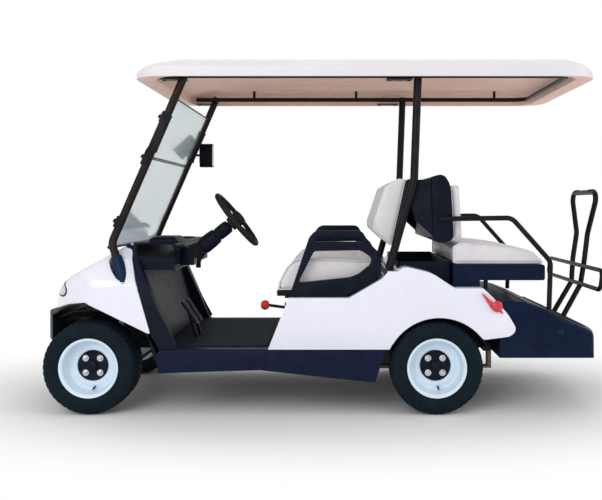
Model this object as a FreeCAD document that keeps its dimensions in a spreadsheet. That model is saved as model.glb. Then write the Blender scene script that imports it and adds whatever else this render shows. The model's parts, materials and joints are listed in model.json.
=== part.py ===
# Four-seat golf cart: two seats facing forward, two facing back, roof on four struts.
# Millimetres. +X forward, +Y to the driver's left, +Z up; the origin is on the ground
# below the middle of the cart.
import FreeCAD, Part
import math
import os
import Sketcher

from FreeCAD import Vector

doc = FreeCAD.newDocument("GolfCart")
sheet = doc.addObject("Spreadsheet::Sheet", "Sizes")
aliases = []
nodes = []


class Size:
    # A length as a number, kept together with the sheet expression that it comes from.
    def __init__(self, value, text):
        self.value = value
        self.text = text

    def __add__(self, other):
        other = asSize(other)
        return Size(self.value + other.value, f"({self.text} + {other.text})")

    def __sub__(self, other):
        other = asSize(other)
        return Size(self.value - other.value, f"({self.text} - {other.text})")

    def __mul__(self, other):
        other = asSize(other)
        return Size(self.value * other.value, f"({self.text} * {other.text})")

    def __truediv__(self, other):
        other = asSize(other)
        return Size(self.value / other.value, f"({self.text} / {other.text})")

    def __neg__(self):
        return Size(-self.value, f"(-1 * {self.text})")

    def __radd__(self, other):
        return asSize(other) + self

    def __rsub__(self, other):
        return asSize(other) - self


def asSize(value):
    if isinstance(value, Size):
        return value
    return Size(float(value), repr(float(value)))


def cell(alias, value):
    aliases.append(alias)
    address = f"B{len(aliases)}"
    sheet.set(f"A{len(aliases)}", alias)
    sheet.set(address, str(value))
    sheet.setAlias(address, alias)
    return Size(float(value), f"Sizes.{alias}")


def named(alias, value):
    # A size that is already named elsewhere passes through unchanged.
    if isinstance(value, Size):
        return value
    return cell(alias, value)


# Overall sizes
wheelbase = cell("wheelbase", 1700)
frontOverhang = cell("frontOverhang", 345)
rearOverhang = cell("rearOverhang", 901)
bodyHalf = cell("bodyHalf", 570)
roofHalf = cell("roofHalf", 600)
frontAxleX = (wheelbase + rearOverhang - frontOverhang) / 2
rearAxleX = frontAxleX - wheelbase

# Shared clearances and walls
seatGap = cell("seatGap", 0.3)
runFit = cell("runFit", 0.1)
panelWall = cell("panelWall", 5)
deckWall = cell("deckWall", 8)

# Wheels and tyres
tyreRadius = cell("tyreRadius", 229.5)
tyreWidth = cell("tyreWidth", 200)
tyreShoulder = cell("tyreShoulder", 22)
wheelMid = cell("wheelMid", 475)
beadRadius = cell("beadRadius", 127)
flangeRadius = cell("flangeRadius", 146)
flangeThick = cell("flangeThick", 6)
rimWidth = cell("rimWidth", 184)
rimWall = cell("rimWall", 4)
discInset = cell("discInset", 90)
discThick = cell("discThick", 5)
hubRadius = cell("hubRadius", 52)
hubLength = cell("hubLength", 66)
spindleRadius = cell("spindleRadius", 15)
spindleShort = cell("spindleShort", 8)

# Front axle and steering
kingpinY = cell("kingpinY", 325)
kingpinRadius = cell("kingpinRadius", 12)
eyeRadius = cell("eyeRadius", 24)
eyeHeight = cell("eyeHeight", 80)
beamSide = cell("beamSide", 50)
knucklePlate = cell("knucklePlate", 12)
knuckleGap = cell("knuckleGap", 1)
knuckleReach = cell("knuckleReach", 48)
steerArm = cell("steerArm", 110)
armWidth = cell("armWidth", 26)
rodRadius = cell("rodRadius", 8)
rodEyeHeight = cell("rodEyeHeight", 20)
rodPin = cell("rodPin", 6)
rodEye = cell("rodEye", 15)
openPivotGap = cell("openPivotGap", 1.5)

# Chassis
railY = cell("railY", 200)
railSide = cell("railSide", 40)
railBottom = cell("railBottom", 270)
railTop = railBottom + railSide
outriggerHalf = cell("outriggerHalf", 499)
chassisFrontAhead = cell("chassisFrontAhead", 250)
springY = cell("springY", 290)
springWidth = cell("springWidth", 50)
springThick = cell("springThick", 12)
springFront = cell("springFront", 290)
springRear = cell("springRear", 310)
axleTube = cell("axleTube", 35)
axleTubeHalf = cell("axleTubeHalf", 350)
drumRadius = cell("drumRadius", 85)
drumWidth = cell("drumWidth", 36)

# Cabin levels
floorThick = cell("floorThick", 12)
floorTop = railTop + floorThick
sillWidth = cell("sillWidth", 70)
dashTopHeight = cell("dashTopHeight", 835)
seatPlatform = cell("seatPlatform", 572)
seatFootAhead = cell("seatFootAhead", 824)
rockerRearAhead = cell("rockerRearAhead", 246)
panLevel = cell("panLevel", 620)

# Struts and roof
strutY = cell("strutY", 500)
strutRadius = cell("strutRadius", 20)
railTubeRadius = cell("railTubeRadius", 12.5)
roofRailHeight = cell("roofRailHeight", 1672)
roofBottom = cell("roofBottom", 1650)
roofCeiling = cell("roofCeiling", 1724)
roofShoulder = cell("roofShoulder", 1735)
roofCrown = cell("roofCrown", 1776)
roofWall = cell("roofWall", 14)
roofCorner = cell("roofCorner", 150)


# ---- helpers ---------------------------------------------------------------

def bind(item, path, size):
    item.setExpression(path, asSize(size).text)


def node(item, label):
    # A finished sub-part: its Label names its file.
    item.Label = label
    nodes.append(item)
    return item


def fromFront(alias, behind, height):
    # A side-view point measured back from the front axle.
    return (frontAxleX - named(alias + "Behind", behind), named(alias + "Height", height))


def fromRear(alias, ahead, height):
    # A side-view point measured forward from the rear axle.
    return (rearAxleX + named(alias + "Ahead", ahead), named(alias + "Height", height))


def planeOf(body, role):
    for feature in body.Origin.OriginFeatures:
        if feature.Role == role:
            return feature
    raise ValueError(role)


def arcEdge(start, end, radius):
    # A positive radius bulges to the left of the run from start to end.
    chord = end - start
    half = chord.Length / 2
    side = Vector(-chord.y, chord.x, 0)
    side.normalize()
    if radius < 0:
        side = side * -1
    reach = abs(radius)
    rise = reach - math.sqrt(reach * reach - half * half)
    middle = (start + end) * 0.5 + side * rise
    return Part.Arc(start, middle, end)


def outline(sketch, points):
    # A closed outline whose corners are fixed by the sheet; a third value in a point is
    # the radius of the arc that leads to it from the point before.
    first = sketch.GeometryCount
    corners = [Vector(asSize(p[0]).value, asSize(p[1]).value, 0) for p in points]
    count = len(points)
    starts = []
    for i in range(count):
        after = (i + 1) % count
        target = points[after]
        if len(target) > 2:
            edge = arcEdge(corners[i], corners[after], target[2].value)
        else:
            edge = Part.LineSegment(corners[i], corners[after])
        sketch.addGeometry(edge, False)
        laid = sketch.Geometry[first + i].StartPoint
        starts.append(1 if laid.distanceToPoint(corners[i]) < 1e-4 else 2)
    for i in range(count):
        after = (i + 1) % count
        end = 3 - starts[i]
        sketch.addConstraint(Sketcher.Constraint(
            "Coincident", first + i, end, first + after, starts[after]))
        across = sketch.addConstraint(Sketcher.Constraint(
            "DistanceX", first + i, starts[i], corners[i].x))
        upward = sketch.addConstraint(Sketcher.Constraint(
            "DistanceY", first + i, starts[i], corners[i].y))
        bind(sketch, f"Constraints[{across}]", points[i][0])
        bind(sketch, f"Constraints[{upward}]", points[i][1])
        target = points[after]
        if len(target) > 2:
            reach = abs(target[2].value)
            bend = sketch.addConstraint(Sketcher.Constraint("Radius", first + i, reach))
            sign = 1 if target[2].value > 0 else -1
            bind(sketch, f"Constraints[{bend}]", target[2] * sign)


def sketchOn(body, role, loops, offset=None):
    sketch = body.newObject("Sketcher::SketchObject", body.Name + "Sketch")
    sketch.AttachmentSupport = (planeOf(body, role), [""])
    sketch.MapMode = "FlatFace"
    if offset is not None:
        bind(sketch, "AttachmentOffset.Base.z", offset)
    for loop in loops:
        outline(sketch, loop)
    return sketch


def prism(name, role, loops, length, offset=None):
    # Without an offset the pad is symmetric about the plane.
    body = doc.addObject("PartDesign::Body", name)
    sketch = sketchOn(body, role, loops, offset)
    pad = body.newObject("PartDesign::Pad", name + "Pad")
    pad.Profile = sketch
    if offset is None:
        pad.SideType = "Symmetric"
    bind(pad, "Length", length)
    return body


def sidePrism(name, points, half):
    # A side-view outline padded across the cart, half to each side of the middle.
    return prism(name, "XZ_Plane", [points], half * 2)


def leftPrism(name, loops, inner, outer):
    # A side-view outline on the left side only, between two distances from the middle.
    return prism(name, "XZ_Plane", loops, outer - inner, -outer)


def box(name, x0, x1, y0, y1, z0, z1):
    item = doc.addObject("Part::Box", name)
    bind(item, "Length", x1 - x0)
    bind(item, "Width", y1 - y0)
    bind(item, "Height", z1 - z0)
    bind(item, "Placement.Base.x", x0)
    bind(item, "Placement.Base.y", y0)
    bind(item, "Placement.Base.z", z0)
    return item


def wideBox(name, x0, x1, half, z0, z1):
    return box(name, x0, x1, -asSize(half), asSize(half), z0, z1)


def uprightCylinder(name, x, y, z0, z1, radius):
    item = doc.addObject("Part::Cylinder", name)
    bind(item, "Radius", radius)
    bind(item, "Height", z1 - z0)
    bind(item, "Placement.Base.x", x)
    bind(item, "Placement.Base.y", y)
    bind(item, "Placement.Base.z", z0)
    return item


def crossCylinder(name, x, z, y0, y1, radius):
    # A cylinder along Y from y0 to y1.
    item = doc.addObject("Part::Cylinder", name)
    item.Placement.Rotation = FreeCAD.Rotation(Vector(1, 0, 0), -90)
    bind(item, "Radius", radius)
    bind(item, "Height", y1 - y0)
    bind(item, "Placement.Base.x", x)
    bind(item, "Placement.Base.y", y0)
    bind(item, "Placement.Base.z", z)
    return item


def cut(name, base, tool):
    item = doc.addObject("Part::Cut", name)
    item.Base = base
    item.Tool = tool
    return item


def common(name, first, second):
    item = doc.addObject("Part::Common", name)
    item.Base = first
    item.Tool = second
    return item


def fuse(name, pieces):
    item = doc.addObject("Part::MultiFuse", name)
    item.Shapes = pieces
    return item


def group(name, pieces):
    item = doc.addObject("Part::Compound", name)
    item.Links = pieces
    return item


def mirrored(name, source):
    item = doc.addObject("Part::Mirroring", name)
    item.Source = source
    item.Normal = Vector(0, 1, 0)
    return item


def pair(name, source):
    return group(name, [source, mirrored(name + "Right", source)])


def at(x, y, z):
    return Vector(asSize(x).value, asSize(y).value, asSize(z).value)


def tubeWire(points, bend):
    # Straight runs joined by tangent arcs.
    edges = []
    start = points[0]
    for i in range(1, len(points) - 1):
        before = (points[i] - points[i - 1]).normalize()
        after = (points[i + 1] - points[i]).normalize()
        turn = before.getAngle(after)
        back = bend * math.tan(turn / 2)
        arcStart = points[i] - before * back
        arcEnd = points[i] + after * back
        inward = (after - before).normalize()
        middle = points[i] + inward * (bend / math.cos(turn / 2) - bend)
        edges.append(Part.LineSegment(start, arcStart).toShape())
        edges.append(Part.Arc(arcStart, middle, arcEnd).toShape())
        start = arcEnd
    edges.append(Part.LineSegment(start, points[-1]).toShape())
    return Part.Wire(edges)


def tube(name, points, radius, bend):
    # A bent round tube: its path turns in space, so its shape is swept here from the sheet's sizes.
    wire = tubeWire(points, bend.value)
    along = points[1] - points[0]
    ring = Part.Wire(Part.makeCircle(radius.value, points[0], along))
    item = doc.addObject("Part::Feature", name)
    item.Shape = wire.makePipeShell([ring], True, False)
    return item


def rod(name, start, end, radius):
    # A straight round bar between two points.
    along = end - start
    item = doc.addObject("Part::Feature", name)
    item.Shape = Part.makeCylinder(radius.value, along.Length, start, along)
    return item


# ---- running gear ------------------------------------------------------------

def turned(name, loop, x, y, z):
    # A ring turned about the wheel axis; the outline gives distance out and radius.
    body = doc.addObject("PartDesign::Body", name)
    sketch = sketchOn(body, "YZ_Plane", [loop])
    turn = body.newObject("PartDesign::Revolution", name + "Turn")
    turn.Profile = sketch
    turn.ReferenceAxis = (planeOf(body, "Y_Axis"), [""])
    turn.Angle = 360
    bind(body, "Placement.Base.x", x)
    bind(body, "Placement.Base.y", y)
    bind(body, "Placement.Base.z", z)
    return body


def tyre(label, x, side):
    half = tyreWidth / 2
    inner = beadRadius + seatGap
    seat = rimWidth / 2 - flangeThick - seatGap
    wall = flangeRadius + seatGap
    loop = [(-seat, inner), (seat, inner), (seat, wall), (half, wall + tyreShoulder),
            (half, tyreRadius - tyreShoulder), (half - tyreShoulder, tyreRadius),
            (-(half - tyreShoulder), tyreRadius), (-half, tyreRadius - tyreShoulder),
            (-half, wall + tyreShoulder), (-seat, wall)]
    node(turned(label, loop, x, wheelMid * side, tyreRadius), label)


def wheel(label, x, side):
    # The outline is drawn for a left wheel, whose outer face is at +Y.
    half = rimWidth / 2
    barrel = beadRadius - rimWall
    disc = (half - discInset) * side
    back = (half - discInset - discThick) * side
    hubBack = (half - discInset - discThick - hubLength) * side
    bore = spindleRadius + runFit
    outer = half * side
    lip = (half - flangeThick) * side
    loop = [(disc, bore), (disc, barrel), (outer, barrel), (outer, flangeRadius),
            (lip, flangeRadius), (lip, beadRadius), (-lip, beadRadius),
            (-lip, flangeRadius), (-outer, flangeRadius), (-outer, barrel),
            (back, barrel), (back, hubRadius), (hubBack, hubRadius), (hubBack, bore)]
    node(turned(label, loop, x, wheelMid * side, tyreRadius), label)


def spindle(name, x, side, start):
    # The spindle runs from the upright or drum to just short of the disc's outer face.
    end = (wheelMid + rimWidth / 2 - discInset - spindleShort) * side
    first = start * side
    if side < 0:
        return crossCylinder(name, x, tyreRadius, end, first, spindleRadius)
    return crossCylinder(name, x, tyreRadius, first, end, spindleRadius)


def frontBeam():
    half = beamSide / 2
    beam = wideBox("BeamBar", frontAxleX - half, frontAxleX + half, kingpinY, tyreRadius - half,
                   tyreRadius + half)
    pieces = [beam]
    bores = []
    for side in (1, -1):
        y = kingpinY * side
        low = tyreRadius - eyeHeight / 2
        pieces.append(uprightCylinder("BeamEye", frontAxleX, y, low, low + eyeHeight, eyeRadius))
        bores.append(uprightCylinder("BeamBore", frontAxleX, y, low, low + eyeHeight,
                                     kingpinRadius + runFit))
        inner = (railY - railSide / 2) if side > 0 else -(railY + railSide / 2)
        pieces.append(box("BeamPerch", frontAxleX - half, frontAxleX + half, inner,
                          inner + railSide, tyreRadius + half, railBottom))
    solid = fuse("BeamSolid", pieces)
    node(cut("FrontAxleBeam", solid, group("BeamBores", bores)), "front_axle_beam")


def knuckle(label, side):
    y = kingpinY * side
    low = tyreRadius - eyeHeight / 2 - knuckleGap - knucklePlate
    high = tyreRadius + eyeHeight / 2 + knuckleGap
    half = armWidth
    reach = (kingpinY + knuckleReach) * side
    y0 = y if side > 0 else reach
    y1 = reach if side > 0 else y
    wall = (kingpinY + knuckleReach - knucklePlate) * side
    w0 = wall if side > 0 else reach
    w1 = reach if side > 0 else wall
    pieces = [
        uprightCylinder("Kingpin", frontAxleX, y, low, high + knucklePlate, kingpinRadius),
        box("PlateLow", frontAxleX - half, frontAxleX + half, y0, y1, low, low + knucklePlate),
        box("PlateHigh", frontAxleX - half, frontAxleX + half, y0, y1, high, high + knucklePlate),
        box("Upright", frontAxleX - half, frontAxleX + half, w0, w1, low, high + knucklePlate),
        uprightCylinder("EyeLow", frontAxleX, y, low, low + knucklePlate, armWidth),
        uprightCylinder("EyeHigh", frontAxleX, y, high, high + knucklePlate, armWidth),
        box("SteerArm", frontAxleX - steerArm - rodEye, frontAxleX, y - armWidth / 2,
            y + armWidth / 2, low, low + knucklePlate),
        uprightCylinder("RodPin", frontAxleX - steerArm, y, low - rodEyeHeight - knucklePlate,
                        low, rodPin),
        spindle("Spindle", frontAxleX, side, kingpinY + knuckleReach),
    ]
    node(fuse("Knuckle" + label, pieces), label)


def tieRod():
    top = tyreRadius - eyeHeight / 2 - knuckleGap - knucklePlate - knuckleGap
    low = top - rodEyeHeight
    x = frontAxleX - steerArm
    bar = crossCylinder("RodBar", x, top - rodEyeHeight / 2, -kingpinY, kingpinY, rodRadius)
    pieces = [bar]
    bores = []
    for side, fit in ((1, runFit), (-1, openPivotGap)):
        pieces.append(uprightCylinder("RodEye", x, kingpinY * side, low, top, rodEye))
        bores.append(uprightCylinder("RodBore", x, kingpinY * side, low, top, rodPin + fit))
    solid = fuse("RodSolid", pieces)
    node(cut("TieRod", solid, group("RodBores", bores)), "tie_rod")


def rearAxle():
    tubeBar = crossCylinder("AxleTube", rearAxleX, tyreRadius, -axleTubeHalf, axleTubeHalf,
                            axleTube)
    pieces = [tubeBar]
    for side in (1, -1):
        inner = axleTubeHalf if side > 0 else -axleTubeHalf - drumWidth
        pieces.append(crossCylinder("AxleDrum", rearAxleX, tyreRadius, inner, inner + drumWidth,
                                    drumRadius))
        pieces.append(spindle("AxleShaft", rearAxleX, side, axleTubeHalf))
    caseHalf = cell("axleCaseHalf", 90)
    caseRadius = cell("axleCaseRadius", 78)
    pieces.append(crossCylinder("AxleCase", rearAxleX, tyreRadius, -caseHalf, caseHalf,
                                caseRadius))
    node(fuse("RearAxle", pieces), "rear_axle")
    motorLength = cell("motorLength", 240)
    motorSide = cell("motorSide", 140)
    front = rearAxleX + caseRadius + motorLength
    top = railBottom - seatGap
    motor = wideBox("DriveMotor", rearAxleX + caseRadius, front, motorSide / 2, top - motorSide,
                    top)
    node(motor, "drive_motor")


def rearSprings():
    frontEnd = rearAxleX + springFront
    rearEnd = rearAxleX - springRear
    top = tyreRadius - axleTube - seatGap
    inner = springY - springWidth / 2
    outer = springY + springWidth / 2
    leaf = box("SpringLeaf", rearEnd, frontEnd, inner, outer, top - springThick, top)
    half = railSide / 2
    hangerFront = box("SpringHanger", frontEnd - half, frontEnd, inner, outer, top, railBottom)
    hangerRear = box("SpringShackle", rearEnd, rearEnd + half, inner, outer, top, railBottom)
    one = fuse("SpringLeft", [leaf, hangerFront, hangerRear])
    node(pair("RearSprings", one), "rear_springs")




# ---- chassis and floor -------------------------------------------------------

def crossBar(name, x, half, top):
    return wideBox(name, x - railSide / 2, x + railSide / 2, half, railBottom, top)


def chassis():
    front = frontAxleX + chassisFrontAhead
    rear = rearAxleX - cell("chassisRearBehind", 640)
    half = railSide / 2
    pieces = []
    for side in (1, -1):
        inner = (railY * side) - half
        pieces.append(box("Rail", rear, front, inner, inner + railSide, railBottom, railTop))
    noseBar = railTop + cell("noseBarRise", 40)
    pieces.append(wideBox("BarNose", front - railSide, front, railY + half, railBottom, noseBar))
    springHalf = springY + springWidth / 2
    pieces.append(crossBar("BarToe", frontAxleX - cell("toeBarBehind", 420), outriggerHalf,
                           railTop))
    pieces.append(crossBar("BarSeatFront", rearAxleX + cell("seatBarAhead", 780), outriggerHalf,
                           railTop))
    pieces.append(crossBar("BarSeatRear", rearAxleX + cell("rearBarAhead", 350), outriggerHalf,
                           railTop))
    pieces.append(crossBar("BarSpringFront", rearAxleX + springFront - half, springHalf, railTop))
    pieces.append(crossBar("BarSpringRear", rearAxleX - springRear + half, springHalf, railTop))
    pieces.append(crossBar("BarDeck", rear + half, railY + half, railTop))
    node(fuse("ChassisFrame", pieces), "chassis_frame")


def batteryPack():
    front = rearAxleX + cell("batteryFrontAhead", 690)
    rear = rearAxleX + cell("batteryRearAhead", 300)
    half = cell("batteryHalf", 330)
    top = railTop + cell("batteryHeight", 230)
    node(wideBox("BatteryPack", rear, front, half, railTop, top), "battery_pack")


def floorTray():
    front = frontAxleX - cell("floorFrontBehind", 330)
    rear = rearAxleX + seatFootAhead
    inner = bodyHalf - sillWidth
    node(wideBox("FloorTray", rear, front, inner, railTop, floorTop), "floor_tray")


def rockerPanels():
    points = [fromFront("rockerToe", 336, 205), fromFront("rockerNose", 330, 296),
              fromFront("rockerStep", 345, floorTop),
              (rearAxleX + rockerRearAhead, floorTop), fromRear("rockerTail", 303, 159),
              fromRear("rockerMid", 863, 220)]
    sill = leftPrism("RockerLeft", [points], bodyHalf - sillWidth, bodyHalf)
    node(pair("RockerPanels", sill), "rocker_panels")


# ---- front body ----------------------------------------------------------------

shoulderFlat = cell("shoulderFlat", 400)
shoulderMid = cell("shoulderMid", 505)
shoulderDrop = cell("shoulderDrop", 75)
sideTop = cell("sideTop", 640)
fenderLow = cell("fenderLow", 150)
noseReach = cell("noseReach", 306)
cowlTopBehind = cell("cowlTopBehind", 178)
cowlTip = fromFront("cowlTip", 306, 391)


def crossShape(name, x0, x1, inset):
    # The section across the front body: a level top, sloping shoulders, upright sides.
    side = bodyHalf - inset
    top = dashTopHeight - inset
    drop = dashTopHeight - shoulderDrop - inset
    flat = shoulderFlat - inset
    middle = shoulderMid - inset
    loop = [(-side, fenderLow), (side, fenderLow), (side, sideTop), (middle, drop),
            (flat, top), (-flat, top), (-middle, drop), (-side, sideTop)]
    return prism(name, "YZ_Plane", [loop], x1 - x0, x0)


def planShape(name, rear, half, reach):
    # The plan of the nose: straight sides that end in one arc across the front.
    radius = (half * half + reach * reach) / (reach * 2)
    loop = [(rear, half), (rear, -half), (frontAxleX, -half), (frontAxleX, half, -radius)]
    return prism(name, "XY_Plane", [loop], dashTopHeight, 0)


def frontCowl(recesses):
    rear = frontAxleX - cowlTopBehind
    top = [
        fromFront("cowlDeck", 150, 823),
        fromFront("cowlBrow", -28, 716),
        fromFront("cowlBonnet", -139, 664),
        fromFront("cowlNose", -267, 556),
        fromFront("cowlLip", -300, 505),
    ]
    under = [
        (frontAxleX + noseReach, cell("cowlChinHeight", 468)),
        fromFront("cowlArchFront", -130, 530),
        fromFront("cowlArchTop", -18, 548),
        fromFront("cowlArchRear", 104, 489),
    ]
    profile = under + [cowlTip, (rear, dashTopHeight)] + top
    back = cowlTip[0] - panelWall
    nose = frontAxleX + noseReach
    outer = common("CowlBlock", sidePrism("CowlSide", profile, bodyHalf),
                   crossShape("CowlSection", back, nose, asSize(0)))
    outer = common("CowlOuter", outer, planShape("CowlPlan", back, bodyHalf, noseReach))
    inner = [(x - panelWall, z - panelWall) for x, z in top]
    hollow = [(back, fenderLow), (back, dashTopHeight - panelWall)] + inner
    hollow.append((inner[-1][0], fenderLow))
    core = common("CowlCoreBlock", sidePrism("CowlCoreSide", hollow, bodyHalf),
                  crossShape("CowlCoreSection", back, nose, panelWall))
    core = common("CowlCore", core, planShape("CowlCorePlan", back, bodyHalf - panelWall,
                                              noseReach - panelWall))
    shell = cut("CowlShell", outer, core)
    node(cut("FrontCowl", shell, recesses), "front_cowl")


def frontBumper():
    proud = frontAxleX + frontOverhang
    profile = [
        (proud, cell("bumperProudHeight", 430)),
        fromFront("bumperTop", -328, 464),
        fromFront("bumperBack", -250, 464),
        (frontAxleX + chassisFrontAhead, cell("bumperFootHeight", 330)),
        fromFront("bumperChin", -317, 330),
    ]
    half = cell("bumperHalf", 420)
    radius = (bodyHalf * bodyHalf + noseReach * noseReach) / (noseReach * 2)
    block = common("BumperBlock", sidePrism("BumperSide", profile, half),
                   uprightCylinder("BumperCurve", proud - radius, 0, fenderLow, dashTopHeight,
                                   radius))
    node(block, "front_bumper")


def dashConsole():
    pillarFoot = fromFront("pillarFoot", 423, floorTop)
    pillarKnee = fromFront("pillarKnee", 229, 768)
    pillarTop = fromFront("pillarTop", 222, dashTopHeight)
    pillarToe = fromFront("pillarToe", 345, floorTop)
    front = (frontAxleX - cowlTopBehind, dashTopHeight)
    inner = bodyHalf - sillWidth
    pillar = leftPrism("DashPillar", [[front, cowlTip, pillarToe, pillarFoot, pillarKnee,
                                       pillarTop]], inner, bodyHalf)
    thick = cell("dashThick", 10)
    hoodRear = cell("hoodRearBehind", 407)
    hoodLow = cell("hoodLow", 705)
    toeTop = fromFront("toeTop", 223, 700)
    toeMid = fromFront("toeMid", 288, 480)
    toeFoot = fromFront("toeFoot", 335, floorTop)
    under = dashTopHeight - thick
    hoodX = frontAxleX - hoodRear
    wall = [front, toeTop, toeMid, toeFoot, (toeFoot[0] - thick, floorTop),
            (toeMid[0] - thick, toeMid[1] + thick), (toeTop[0] - thick, toeTop[1]),
            (front[0] - thick * 2, under), (hoodX + thick, under), (hoodX + thick, hoodLow),
            (hoodX, hoodLow), (hoodX, dashTopHeight)]
    middle = sidePrism("DashWall", wall, inner)
    pieces = [pillar, mirrored("DashPillarRight", pillar), middle]
    for side in (1, -1):
        y0 = (inner - thick) if side > 0 else -inner
        pieces.append(box("DashEnd", hoodX, toeTop[0], y0, y0 + thick, hoodLow,
                          dashTopHeight))
    block = fuse("DashBlock", pieces)
    back = frontAxleX - cell("dashBack", 450)
    node(common("DashConsole", block, crossShape("DashSection", back, front[0], asSize(0))),
         "dash_console")
    return hoodX


# ---- rear body -------------------------------------------------------------------

footTop = fromRear("seatFootTop", 724, seatPlatform)
ringFlat = fromRear("ringFlat", 430, seatPlatform)
ringRise = fromRear("ringRise", 270, 665)
strutSeat = cell("strutSeat", 702)
wellRearAhead = cell("wellRearAhead", 260)
wellHalf = cell("wellHalf", 485)
archRadius = cell("archRadius", 268)
archShift = cell("archShift", 12)
archCentre = cell("archCentre", 210)
tailPoints = [
    fromRear("bodyStrutRear", 190, strutSeat),
    fromRear("bodyHump", 165, 728),
    fromRear("bodyFall", 26, 695),
    fromRear("panFront", -87, panLevel),
    fromRear("panRear", -225, panLevel),
    fromRear("tailBrow", -274, 574),
    fromRear("tailLamp", -346, 494),
    fromRear("tailEnd", -388, 420),
    fromRear("tailUnder", -360, 386),
    fromRear("tailLow", -250, 372),
]


def bagHole(name, gap, low, high):
    front = rearAxleX + bagFrontAhead - gap
    rear = rearAxleX - bagRearBehind + gap
    return wideBox(name, rear, front, bagHalf - gap, low, high)


bagFrontAhead = cell("bagFrontAhead", 185)
bagRearBehind = cell("bagRearBehind", 80)
bagHalf = cell("bagHalf", 440)
bagFloor = cell("bagFloor", 560)
bagRim = cell("bagRim", 742)
bagWall = cell("bagWall", 4)


def rearBody():
    foot = (rearAxleX + seatFootAhead, floorTop)
    behind = (rearAxleX - cell("bodyFloorBehind", 200), floorTop)
    raised = [foot, footTop, ringFlat, ringRise, (rearAxleX + ringRiseEnd, strutSeat)]
    outer = sidePrism("BodyOuter", raised + tailPoints + [behind], bodyHalf)
    wall = panelWall
    well = rearAxleX + wellRearAhead - wall
    ceiling = [(x, z - wall) for x, z in tailPoints[:6]]
    back = [(x + wall, z) for x, z in tailPoints[6:9]]
    inner = [(foot[0] - wall, railBottom), (foot[0] - wall, floorTop),
             (footTop[0] - wall, seatPlatform - wall), (well, seatPlatform - wall),
             (well, strutSeat - wall)]
    inner = inner + ceiling + back
    inner.append((tailPoints[9][0], tailPoints[9][1] - cell("tailFootOpen", 20)))
    inner.append((behind[0], railBottom))
    hollow = sidePrism("BodyHollow", inner, bodyHalf - wall)
    shell = cut("BodyShell", outer, hollow)
    wellBox = wideBox("SeatWell", rearAxleX + wellRearAhead, rearAxleX + seatFootAhead, wellHalf,
                      seatPlatform, seatPlatform + cell("seatWellHeight", 300))
    bayDepth = cell("bayDepth", 50)
    bay = wideBox("BatteryBay", rearAxleX + cell("bayRearAhead", 300),
                  rearAxleX + cell("bayFrontAhead", 690), cell("bayHalf", 440),
                  seatPlatform - bayDepth, seatPlatform + bayDepth)
    arch = crossCylinder("BodyArch", rearAxleX - archShift, archCentre, -bodyHalf, bodyHalf,
                         archRadius)
    for tool in (wellBox, bay, arch, bagHole("BagHole", asSize(0), bagFloor, bagRim)):
        shell = cut("BodyCut" + tool.Name, shell, tool)
    node(shell, "rear_body")


ringRiseEnd = cell("ringRiseEnd", 238)


def wheelWells():
    y0 = cell("wellInnerY", 345)
    y1 = bodyHalf - panelWall - seatGap
    thick = cell("wellLiner", 5)
    x = rearAxleX - archShift
    ring = cut("WellRing",
               crossCylinder("WellOuter", x, archCentre, y0, y1, archRadius - seatGap),
               crossCylinder("WellInner", x, archCentre, y0, y1, archRadius - seatGap - thick))
    above = box("WellAbove", x - archRadius, x + archRadius, y0, y1, floorTop,
                floorTop + archRadius)
    node(pair("WheelWells", common("WellLeft", ring, above)), "wheel_wells")


def bagwell():
    outer = bagHole("BagOuter", seatGap, bagFloor, bagRim)
    inner = bagHole("BagInner", seatGap + bagWall, bagFloor + bagWall, bagRim + bagWall)
    node(cut("Bagwell", outer, inner), "bagwell")


def tailLights():
    face = bodyHalf + seatGap
    loop = [fromRear("lampTop", -214, 600), fromRear("lampRear", -300, 540),
            fromRear("lampLow", -322, 496), fromRear("lampFront", -262, 520)]
    lamp = leftPrism("TailLampLeft", [loop], face, face + cell("lampProud", 8))
    node(pair("TailLights", lamp), "tail_lights")


# ---- seats -----------------------------------------------------------------------

seatHalf = cell("seatHalf", 470)
backHalf = cell("backHalf", 450)
shellHalf = strutY - strutRadius - seatGap
seatBaseThick = cell("seatBaseThick", 26)
seatFrontAhead = cell("seatFrontAhead", 787)
seatRearAhead = cell("seatRearAhead", 290)
hingeAhead = cell("hingeAhead", 750)
hingeHeight = seatPlatform - cell("hingeDrop", 20)
hingePin = cell("hingePin", 5)
hingeHalf = cell("hingeHalf", 300)
hingeLug = cell("hingeLug", 10)


def wallAt(height):
    # The forward face of the seat's foot at a height.
    share = (height - floorTop) / (seatPlatform - floorTop)
    start = rearAxleX + seatFootAhead
    return start + (footTop[0] - start) * share


def seatHinge():
    x = rearAxleX + hingeAhead
    pin = crossCylinder("HingeBar", x, hingeHeight, -hingeHalf, hingeHalf, hingePin)
    low = hingeHeight - hingeLug
    high = hingeHeight + hingeLug
    loop = [(wallAt(low), low), (wallAt(high), high), (x + hingeLug, high), (x + hingeLug, low)]
    lug = leftPrism("HingeLug", [loop], hingeHalf - hingeLug, hingeHalf)
    solid = fuse("SeatHinge", [pin, lug, mirrored("HingeLugRight", lug)])
    node(solid, "seat_hinge")


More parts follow.
